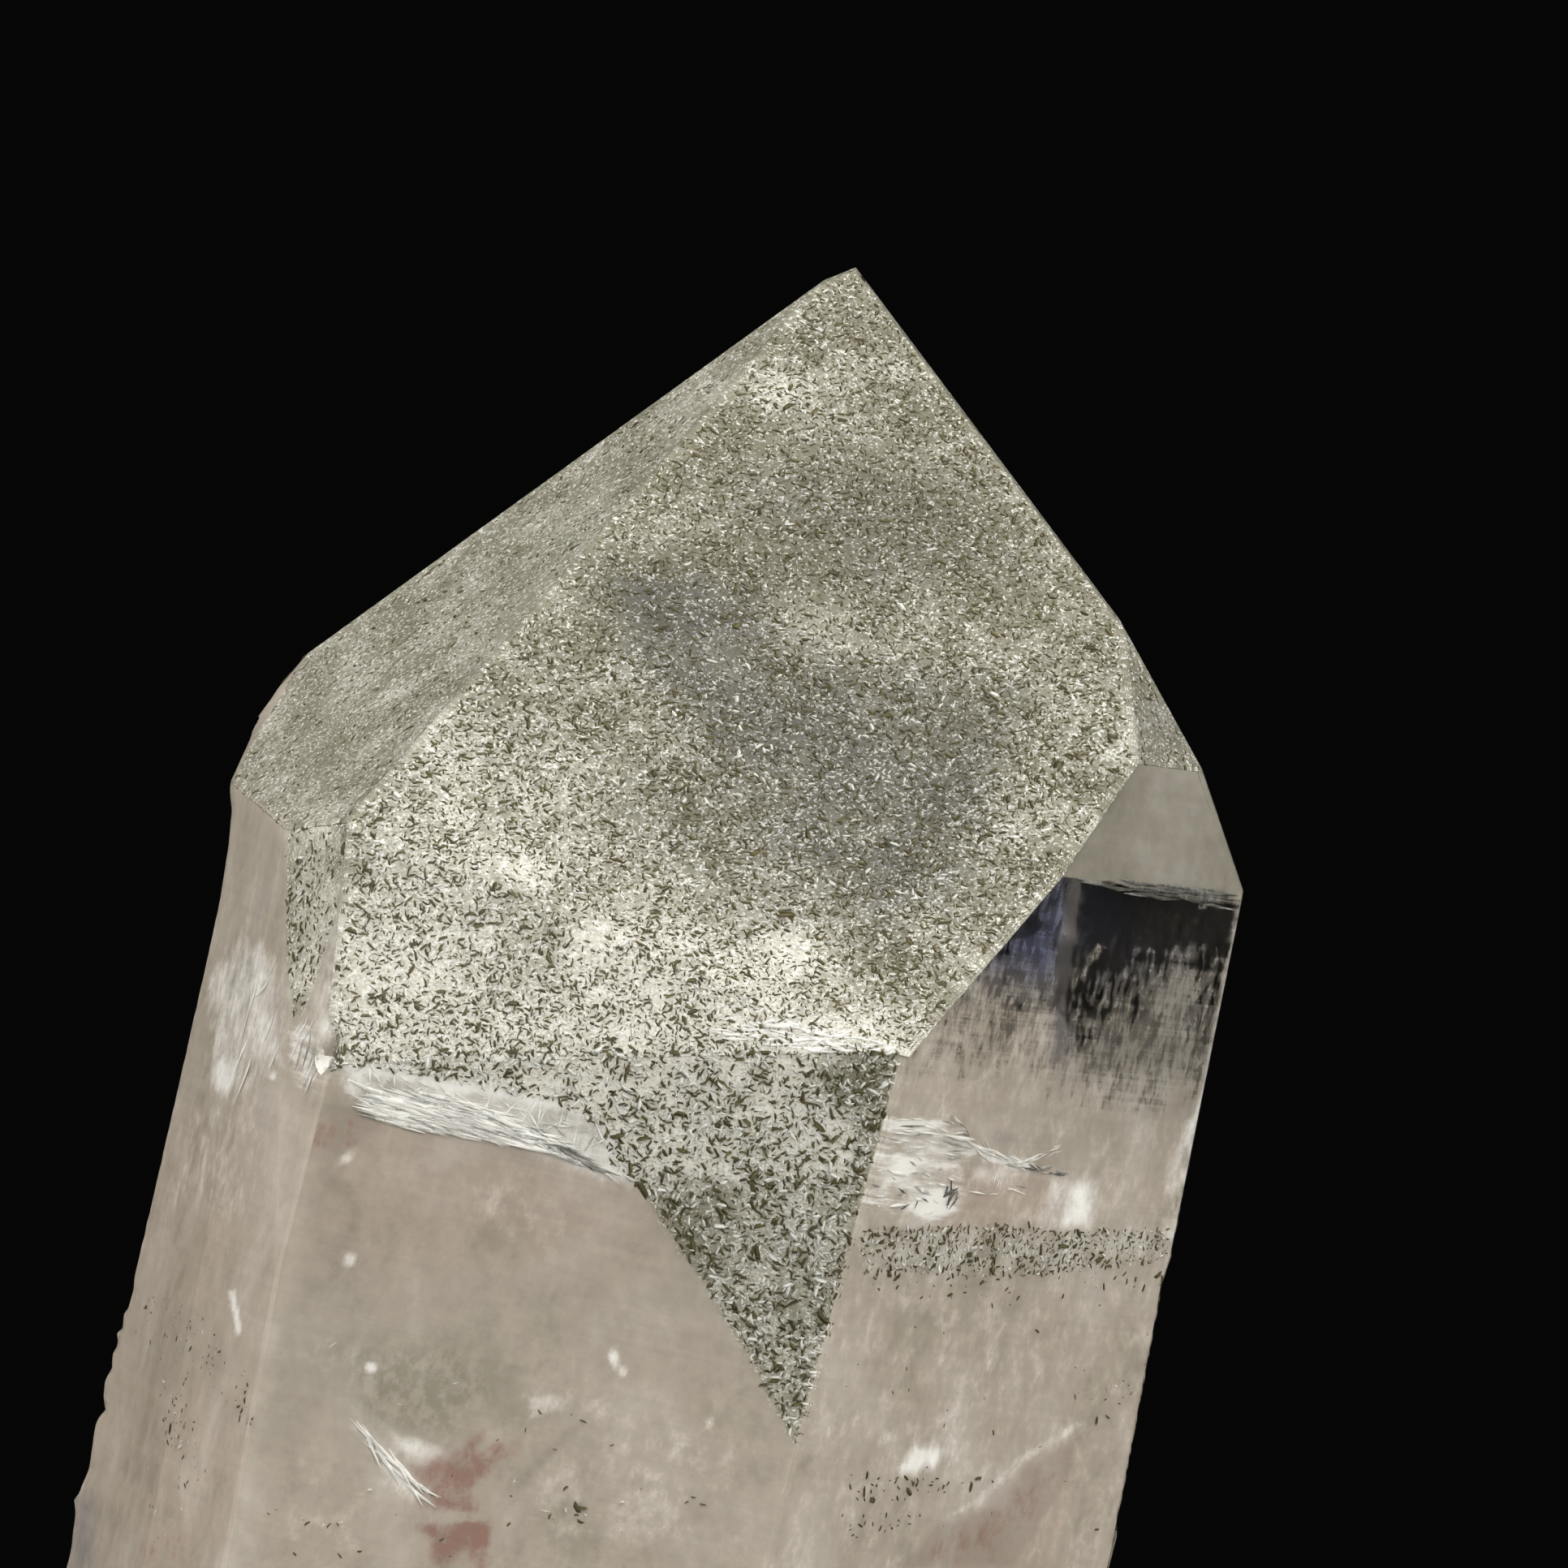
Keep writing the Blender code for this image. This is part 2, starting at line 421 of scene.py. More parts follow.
def face_shift(face, height):
    """How far a face steps out at this height, in millimetres."""
    key = list(FACES).index(face)
    if "slope" in face or (height > 43.0 and face != "left_steep"):
        return 0.0
    lines = noise.noise(Vector((key * 7.3, 0.0, height * 2.9)))
    fine = noise.noise(Vector((key * 3.1, 5.0, height * 9.0)))
    shift = LINE_DEPTH * (lines + 0.8 * fine)
    tooth = TOOTH_DEPTH * noise.noise(Vector((key * 1.7, 9.0, height * 3.4)))
    if face in STEPPED:
        knots, share = STEPPED[face]
        shift += between(knots, height) * share + tooth
    return shift


def shape_skin():
    """The crystal's outer skin: its flat faces, with fine steps on the upright ones."""
    bm = bmesh.new()
    block = 90.0 * MM
    bmesh.ops.create_cube(bm, size=block, matrix=Matrix.Translation((0.0, 0.0, block / 2)))
    for face in FACES:
        trim(bm, face_point(face, 0.0), face_normal(face), fill=True)
    height = SKIN_TOP
    turn = 0
    while height > 1.6:
        level = height * MM
        trim(bm, np.array((0.0, 0.0, level)), np.array((0.0, 0.0, 1.0)), outer=False)
        uneven = 1.0 + 0.7 * noise.noise(Vector((turn * 3.7, 0.5, 2.0)))
        height -= (SKIN_FINE_PITCH if height > SKIN_FINE_FOOT else SKIN_PITCH) * uneven
        turn += 1
    normals = np.array([face_normal(face) for face in FACES])
    offsets = np.array([face_point(face, 0.0) @ face_normal(face) for face in FACES])
    names = list(FACES)
    places = np.array([vert.co[:] for vert in bm.verts])
    touching = abs(places @ normals.T - offsets) < TOUCH
    corners = places[touching.sum(axis=1) > 2]
    for vert, place, touched in zip(bm.verts, places, touching):
        on = np.flatnonzero(touched)
        if place[2] < 1.0 * MM or not len(on):
            continue
        nearest = np.min(np.linalg.norm(corners - place, axis=1))
        free = ease(nearest / CORNER_REACH)
        shifts = np.array([face_shift(names[index], place[2] / MM) for index in on]) * MM * free
        if np.any(shifts):
            move = np.linalg.lstsq(normals[on], shifts, rcond=None)[0]
            far = np.linalg.norm(move) / (2.5 * np.max(abs(shifts)))
            vert.co = Vector(place + move / max(1.0, far))
    return bm


CHIPS = {
    "chip_left_front_edge": (-38.6, 38.3, 1.1, 0.22),
    "chip_front_edge": (31.0, 17.4, 2.2, 0.35),
    "chip_foot_front": (8.0, 0.4, 3.4, 0.9),
    "chip_foot_front_left": (-36.0, 0.0, 3.0, 1.1),
    "chip_foot_right": (58.0, 0.6, 3.8, 0.8),
    "chip_foot_right_corner": (92.0, -0.2, 2.9, 1.1),
    "chip_foot_back": (165.0, 0.3, 4.2, 0.8),
    "chip_foot_back_corner": (-142.0, 0.0, 3.3, 1.2),
    "chip_foot_left": (-88.0, 0.5, 3.6, 0.7),
}


def chip_ball(azimuth, height, radius, bite):
    """The middle and the radius of the round hollow that a chip leaves."""
    side = math.radians(azimuth)
    way = np.array((math.sin(side), -math.cos(side), 0.0))
    start = np.array((0.0, 0.0, height * MM))
    ahead = [face for face in FACES if way @ face_normal(face) > 0.01]
    reach = min((face_point(face, 0.0) - start) @ face_normal(face) / (way @ face_normal(face)) for face in ahead)
    return start + way * (reach + (radius - bite) * MM), radius * MM


HOLLOWS = {name: chip_ball(*sizes) for name, sizes in CHIPS.items()}


def clear_of_chips(places, gap):
    """Places moved inwards where they are closer to a chip's hollow than this gap."""
    for centre, radius in HOLLOWS.values():
        away = places - centre
        far = np.linalg.norm(away, axis=-1, keepdims=True)
        places = centre + away * np.maximum(1.0, (radius + gap) / far)
    return places


def make_skin(finish):
    """The clear skin, with shell-shaped chips bitten out of its edges."""
    bm = shape_skin()
    mesh = bpy.data.meshes.new("crystal_skin")
    bmesh.ops.triangulate(bm, faces=bm.faces[:])
    bm.to_mesh(mesh)
    bm.free()
    skin = bpy.data.objects.new("crystal_skin", mesh)
    bpy.context.scene.collection.objects.link(skin)
    balls = []
    for name, (middle, radius) in HOLLOWS.items():
        centre = Vector(middle)
        ball_mesh = bpy.data.meshes.new(name)
        ball = bmesh.new()
        bmesh.ops.create_icosphere(ball, subdivisions=4, radius=radius, matrix=Matrix.Translation(centre))
        for vert in ball.verts:
            away = (vert.co - centre).normalized()
            ripple = noise.noise(vert.co / (0.55 * MM)) * 0.015 * MM
            facets = noise.noise(vert.co / (0.2 * radius)) * 0.016 * radius
            vert.co += away * (ripple + facets)
        ball.to_mesh(ball_mesh)
        ball.free()
        cutter = bpy.data.objects.new(name, ball_mesh)
        bpy.context.scene.collection.objects.link(cutter)
        chip = skin.modifiers.new(name, "BOOLEAN")
        chip.operation = "DIFFERENCE"
        chip.solver = "EXACT"
        chip.object = cutter
        balls.append(cutter)
    graph = bpy.context.evaluated_depsgraph_get()
    chipped = bpy.data.meshes.new_from_object(skin.evaluated_get(graph))
    skin.modifiers.clear()
    skin.data = chipped
    skin.data.materials.clear()
    skin.data.materials.append(finish)
    for ball in balls:
        bpy.data.objects.remove(ball, do_unlink=True)
    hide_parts("quartz_crystal")
    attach(skin, "root")


# Colours of the dust: its plain ground, its ground under painted light, dark olive specks and painted glints
DUST_PALE = (0.205, 0.197, 0.142, 1.0)
DUST_WHITE = (0.72, 0.70, 0.64, 1.0)
DUST_OLIVE = (0.14, 0.135, 0.06, 1.0)
SPARKLE = (0.94, 0.95, 0.935, 1.0)
HAZE_BEIGE = (0.430, 0.396, 0.340, 1.0)
HAZE_ROSE = (0.444, 0.378, 0.320, 1.0)
HAZE_WHITE = (0.90, 0.90, 0.885, 1.0)
# Grey of the painted shade: darker patches where dark things show through the crystal, darker whole faces, and shade
# over bright reflections
PAINTED_SHADE_GREY = (0.10, 0.098, 0.088, 1.0)
# Bluish grey of painted shade, mostly in the clear window on the right, where the dark background shows through
BLUE_SHADE = (0.12, 0.13, 0.20, 1.0)
RUST = (0.24, 0.115, 0.09, 1.0)
OLIVE_HAZE = (0.25, 0.24, 0.185, 1.0)


def speckled(finish, light, smoke, gain=1.0):
    """The colour of dust: dark olive between bright grains, some of them painted glints; painted light and painted
    shade brighten and darken its ground.
    """
    grain = finish.noise(finish.stretched((1.0, 1.0, 1.2)), 13.0, 2.0, 0.6, 0.3)
    clump = finish.noise(finish.stretched((1.0, 1.0, 1.3)), 4.0, 3.0, 0.65, 0.3)
    drift = finish.noise(finish.stretched((1.0, 1.0, 1.0)), 0.6, 4.0, 0.6)
    lit = finish.ramp(light + 1.1 * (drift - 0.5) + (0.45 + 0.6 * light) * (clump - 0.5), 0.0, 1.0)
    ground = finish.shade(finish.mix(lit, DUST_PALE, DUST_WHITE), gain)
    # Painted shade darkens the dust's ground where it is brushed on
    ground = finish.mix(smoke * (0.65 + 0.35 * finish.ramp(drift, 0.4, 0.6)), ground, PAINTED_SHADE_GREY)
    dark = finish.ramp(grain, 0.45, 0.36) * 0.45
    # Painted glints among the grains
    spark = finish.ramp(grain, 0.56 - 0.04 * lit, 0.63 - 0.045 * lit) * finish.ramp(clump, 0.36, 0.52)
    spots = finish.mix(dark, ground, DUST_OLIVE)
    return grain, clump, finish.mix(spark * (0.95 - 0.35 * smoke), spots, SPARKLE)


def dust_finish():
    """A pale film speckled with fine dust, with painted highlights and painted shade."""
    finish = Finish("chlorite_dust_film")
    light, smoke, haze = (finish.attribute(name) for name in ("light", "smoke", "haze"))
    grain, _, colour = speckled(finish, light, smoke)
    clouded = finish.ramp(grain + haze, 0.62, 0.95)
    finish.set(Base_Color=colour, Roughness=0.75, Alpha=haze * clouded)
    return finish.material


def haze_finish():
    """Cloudy quartz seen through a clear skin: beige to rosy, with clouds, dust, broken places, a few stains, painted
    highlights and painted shade.
    """
    finish = Finish("cloudy_quartz_veil")
    light, smoke, haze, rose, blue, rust, olive, dust, crack, even = (finish.attribute(name) for name in LOOKS)
    cloud = finish.noise(finish.stretched((1.0, 1.0, 0.8)), 0.42, 4.0, 0.6, 0.4)
    mottle = finish.noise(finish.stretched((1.0, 1.0, 0.8)), 1.3, 6.0, 0.66, 0.2)
    wisp = finish.noise(finish.stretched((1.2, 1.2, 0.9)), 3.0, 5.0, 0.7)
    streak = finish.noise(finish.stretched((3.4, 3.4, 1.3)), 1.3, 5.0, 0.7)
    lines = finish.noise(finish.stretched((0.10, 0.10, 5.0)), 1.0, 4.0, 0.75)
    blocks = finish.noise(finish.stretched((1.1, 1.1, 3.6)), 1.4, 4.0, 0.62)
    base = finish.mix(rose, HAZE_BEIGE, HAZE_ROSE)
    base = finish.mix(olive * finish.ramp(wisp, 0.36, 0.60), base, OLIVE_HAZE)
    clouded = finish.mix(finish.ramp(cloud, 0.46, 0.74) * 0.20, base, HAZE_WHITE)
    murky = finish.mix(finish.ramp(cloud + 0.6 * (mottle - 0.5), 0.46, 0.26) * 0.35, clouded, OLIVE_HAZE)
    # Painted highlights: the light value, broken up by noise, whitens the haze
    glint = light + 1.1 * (mottle - 0.5) + 0.6 * (wisp - 0.5)
    lit = finish.mix(finish.ramp(glint, 0.10, 0.95) * finish.ramp(light, 0.0, 0.12), murky, HAZE_WHITE)
    stain = finish.ramp(rust + 2.6 * (mottle - 0.5) + 1.4 * (wisp - 0.5), 0.15, 1.1) * finish.ramp(rust, 0.02, 0.25)
    stained = finish.mix(stain * 0.8, lit, RUST)
    ruled = finish.shade(stained, 0.50 + 0.46 * mottle + 0.22 * lines + 0.32 * wisp)
    # The dust on the haze films is brightened by 1.28: painted light
    _, clump, dusty = speckled(finish, light, smoke, 1.28)
    dusted = finish.mix(finish.ramp(dust + 1.6 * (clump - 0.5), 0.25, 0.75), ruled, dusty)
    facets = crack + 1.5 * (blocks - 0.5) + 1.0 * (lines - 0.5)
    broken = finish.mix(finish.ramp(facets, 0.12, 0.85) * finish.ramp(crack, 0.0, 0.1), dusted, HAZE_WHITE)
    # Painted shade, grey and bluish, laid over the haze
    shaded = finish.mix(blue, finish.mix(smoke, broken, PAINTED_SHADE_GREY), BLUE_SHADE)
    rough = 2.4 * (streak - 0.5) + 1.0 * (lines - 0.5) + 0.8 * (mottle - 0.5)
    spotted = haze + rough * (1.0 - even)
    veil = finish.ramp(spotted, 0.05, 0.95) * finish.ramp(haze, 0.0, 0.08)
    finish.set(
        Base_Color=shaded,
        Roughness=0.8,
        # Painted bluish shade also lays a faint dark sheet where the haze is clear
        Alpha=veil + (1.0 - veil) * (0.08 * blue * mottle),
    )
    return finish.material


def crack_finish():
    """The walls of an inner crack: silvery white chips, a few of them dark."""
    finish = Finish("silvery_crack")
    tone = finish.attribute("tone")
    fleck = finish.noise(finish.stretched((1.0, 1.0, 1.0)), 6.0, 3.0, 0.7)
    tone = tone + 0.5 * (fleck - 0.5)
    shade = finish.mix(finish.ramp(tone, 0.05, 0.28), (0.10, 0.10, 0.085, 1.0), (0.38, 0.38, 0.36, 1.0))
    colour = finish.mix(finish.ramp(tone, 0.28, 0.5), shade, (0.97, 0.97, 0.95, 1.0))
    finish.set(Base_Color=colour, Roughness=0.45)
    return finish.material


def flake_finish():
    """Chlorite flakes: dark olive to brown, each a little different, and pale ones that glint."""
    finish = Finish("chlorite_flakes")
    tone = finish.attribute("tone")
    dark = finish.mix(tone, (0.048, 0.040, 0.012, 1.0), (0.155, 0.130, 0.052, 1.0))
    speck = finish.noise(finish.stretched((1.0, 1.0, 1.0)), 9.0, 2.0)
    olive = finish.mix(speck * 0.3, dark, (0.2, 0.18, 0.06, 1.0))
    colour = finish.mix(finish.ramp(tone, 1.2, 1.4), olive, (0.88, 0.885, 0.86, 1.0))
    finish.set(Base_Color=colour, Roughness=0.6)
    return finish.material


def film_reach(face, other, depth):
    """How close the film under one face comes to another face."""
    at_rim = other in BACK_FACES and face not in BACK_FACES
    return RIM_DEPTH if at_rim or other in FULL_EDGES.get(face, ()) else depth


def clear_of_steps(face, places, depth):
    """Places of a film moved inwards where a face steps in over them."""
    for other, (knots, share) in STEPPED.items():
        heights, steps = np.array(knots[::-1]).T
        out = np.interp(places[:, 2] / MM, heights, steps) * share * MM
        room = (face_point(other, 0.0) - places) @ face_normal(other) + np.minimum(out, 0.0)
        gap = film_reach(face, other, depth) if other != face else depth
        places = places - face_normal(other) * np.maximum(0.0, gap - room)[:, None]
    return places


def film_mesh(face, depth, step):
    """A fine grid under a face, trimmed where the films under the other faces cross it."""
    normal = face_normal(face)
    level = np.cross((0.0, 0.0, 1.0), normal)
    level /= np.linalg.norm(level)
    rise = np.cross(normal, level)
    middle = face_point(face, depth)
    middle = middle + level * -((middle - face_point(face, 0.0)) @ level)
    half = 16.0 * MM
    front = face in FRONT
    up = (26.0 if front else 42.0) * MM
    bm = bmesh.new()
    turn = Matrix((level, rise, normal)).transposed().to_4x4()
    place = Matrix.Translation(Vector(middle)) @ turn
    columns = int(2 * half / step)
    rows = int(2 * up / step)
    bmesh.ops.create_grid(bm, x_segments=columns, y_segments=rows, size=1.0)
    bmesh.ops.scale(bm, vec=(half, up, 1.0), verts=bm.verts)
    for vert in bm.verts:
        if front and vert.co.y < COARSE_BELOW:
            vert.co.y = COARSE_BELOW + (vert.co.y - COARSE_BELOW) * 3.2
    bmesh.ops.transform(bm, matrix=place, verts=bm.verts)
    for other in FACES:
        if other != face:
            trim(bm, face_point(other, film_reach(face, other, depth)), face_normal(other))
    trim(bm, np.array((0.0, 0.0, FILM_FOOT)), np.array((0.0, 0.0, -1.0)))
    return bm




def make_film(name, face, depth, strokes, finish, step):
    """A film of dust or haze under one face, brushed with strokes where they show."""
    bm = film_mesh(face, depth, step)
    places = np.array([vert.co[:] for vert in bm.verts])
    if not len(places):
        bm.free()
        return None
    x, y = seen_at(face, places, depth)
    looks = brushed(strokes, x, y, places)
    bare = looks["haze"] + looks["blue"] < 0.004
    clear = clear_of_chips(clear_of_steps(face, places, depth), depth)
    clear[:, 2] = np.maximum(clear[:, 2], 0.5 * FILM_FOOT)
    for vert, place in zip(bm.verts, clear):
        vert.co = Vector(place)
    bmesh.ops.delete(bm, geom=[vert for vert, out in zip(bm.verts[:], bare) if out], context="VERTS")
    mesh = bpy.data.meshes.new(name)
    bm.to_mesh(mesh)
    bm.free()
    for key, values in looks.items():
        attribute = mesh.attributes.new(key, "FLOAT", "POINT")
        attribute.data.foreach_set("value", values[~bare].astype(np.float32))
    mesh.materials.append(finish)
    film = bpy.data.objects.new(name, mesh)
    bpy.context.scene.collection.objects.link(film)
    solid = film.modifiers.new("film", "SOLIDIFY")
    solid.thickness = FILM
    solid.offset = -1.0
    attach(film, "root")
    return film


# The looks brushed on the films: whiter haze with painted highlights, painted shade, how cloudy, rosy tint, painted
# bluish shade, iron stain, olive tint, dust, broken places, and how evenly clouded
LOOKS = ("light", "smoke", "haze", "rose", "blue", "rust", "olive", "dust", "crack", "even")


def brushed(strokes, x, y, places):
    """The look of each point after all strokes. A stroke is a look, its value, a shape and a border width."""
    looks = {look: np.zeros(len(x)) for look in LOOKS}
    for look, value, shape, soft in strokes:
        if shape is None:
            share = np.ones(len(x))
        elif shape[0] == "oval":
            share = blot(x, y, *shape[1:])
        elif shape[0] == "height":
            share = ease((places[:, 2] / MM - shape[1]) / soft + 0.5)
        else:
            share = inside(shape, x, y, soft)
        looks[look] += (value - looks[look]) * share
    return looks


def oval(x, y, wide, high, turn=0.0):
    return ("oval", (x, y), (wide, high), turn)


DUST_BASE = [("haze", 0.97, None, 0), ("light", 0.2, None, 0)]
HAZE_BASE = [("haze", 1.7, None, 0), ("rose", 0.35, None, 0)]
MAIN = DUST_BASE + [
    # Painted highlights and whiter haze on the main slope
    ("light", 0.28, oval(1030, 520, 130, 180), 0),
    ("light", 0.34, [(600, 900), (1000, 730), (1380, 800), (1390, 940), (1260, 1140), (1100, 1290)], 140),
    ("light", 0.60, [(420, 1000), (540, 900), (640, 940), (760, 1060), (880, 1130), (1000, 1170), (1130, 1290),
                     (1118, 1330), (400, 1330)], 210),
    ("light", 0.50, oval(610, 1070, 170, 120, 30), 0),
    ("light", 1.15, oval(500, 1190, 150, 130, 0), 0),
    ("light", 0.92, oval(820, 1215, 190, 90, 0), 0),
    ("light", 1.1, oval(650, 1070, 54, 34, 20), 0),
    ("light", 1.1, oval(560, 1000, 40, 26, 20), 0),
    ("light", 1.1, oval(720, 1165, 60, 44, -20), 0),
    ("light", 1.1, oval(975, 1170, 60, 40, 30), 0),
    ("light", 1.0, [(410, 1255), (800, 1235), (1110, 1262), (1118, 1302), (400, 1312)], 80),
    ("light", 1.3, [(870, 1262), (960, 1250), (1112, 1292), (1110, 1300), (1000, 1296), (900, 1284)], 30),
    ("light", 0.8, oval(960, 480, 40, 60, 70), 0),
    # No painted light here, and painted shade over the bright reflection in the chip's hollow
    ("light", 0.0, oval(402, 1306, 40, 50), 0),
    ("smoke", 0.45, oval(402, 1306, 30, 34), 0),
    # Painted shade: darker patches on the main slope
    ("smoke", 0.54, [(900, 590), (1040, 560), (1200, 600), (1245, 700), (1080, 745), (930, 700)], 130),
    ("smoke", 0.95, [(735, 705), (830, 692), (946, 722), (950, 850), (860, 880), (770, 810)], 90),
    ("smoke", 0.92, [(830, 830), (960, 792), (1258, 852), (1240, 940), (1200, 1080), (1080, 1150), (960, 1080),
                     (870, 980)], 110),
    ("smoke", 0.98, oval(900, 830, 70, 60), 0),
    ("smoke", 0.55, oval(860, 1010, 190, 120, 20), 0),
    ("smoke", 0.40, oval(960, 1110, 150, 80, 0), 0),
]
TRIANGLE = [(403, 1296), (1113, 1296), (1062, 1480), (985, 1787), (905, 1640), (790, 1465), (752, 1436), (744, 1388),
            (680, 1358), (600, 1342), (500, 1322), (404, 1314)]
BAND = [(1060, 1514), (1270, 1508), (1290, 1516), (1450, 1512), (1447, 1552), (1270, 1574), (1064, 1568)]
STRIP = [(350, 1018), (430, 1012), (420, 1080), (410, 1140), (390, 1200), (372, 1250), (360, 1250), (352, 1120)]
SLOPE_BACK = DUST_BASE + [("haze", 0.2, None, 0), ("haze", 0.85, ("height", 49.0), 8.0)]
DUST_STROKES = {
    "main_slope": MAIN,
    "front_steep": MAIN,
    "left_slope": DUST_BASE + [("light", 0.25, None, 0)],
    "right_small_slope": DUST_BASE + [("smoke", 0.1, None, 0), ("haze", 0.6, oval(1450, 880, 60, 90, 60), 0)],
    "right_back_slope": SLOPE_BACK,
    "left_back_slope": SLOPE_BACK,
    "back_small_slope": SLOPE_BACK,
}
BACK_VEIL = HAZE_BASE + [("haze", 1.2, None, 0), ("haze", 0.04, ("height", 36.5), 5.0)]
LEFT = HAZE_BASE + [
    ("light", 0.48, [(258, 1200), (300, 1150), (345, 1180), (352, 1290), (300, 1362), (262, 1330)], 36),
    ("light", 0.85, oval(276, 1330, 20, 36), 0),
    ("light", 0.75, oval(316, 1215, 70, 10, 96), 0),
    ("light", 0.6, oval(268, 1290, 60, 8, 94), 0),
    ("light", 0.5, oval(340, 1300, 40, 7, 60), 0),
    ("light", 0.9, oval(336, 1326, 9, 9), 0),
    ("light", 0.85, [(280, 1590), (290, 1588), (298, 1640), (292, 1648)], 8),
    ("light", 0.22, oval(310, 1130, 60, 16, 100), 0),
    ("light", 0.22, [(230, 1360), (330, 1360), (300, 1500), (200, 1500)], 70),
    ("rose", 0.8, [(170, 1400), (300, 1400), (300, 1932), (110, 1932), (110, 1760)], 200),
    ("olive", 0.4, oval(225, 1660, 70, 110, 100), 0),
    ("rust", 0.30, [(164, 1893), (235, 1890), (240, 1932), (164, 1932)], 60),
    ("blue", 0.35, [(90, 1840), (116, 1850), (116, 1932), (90, 1932)], 30),
]
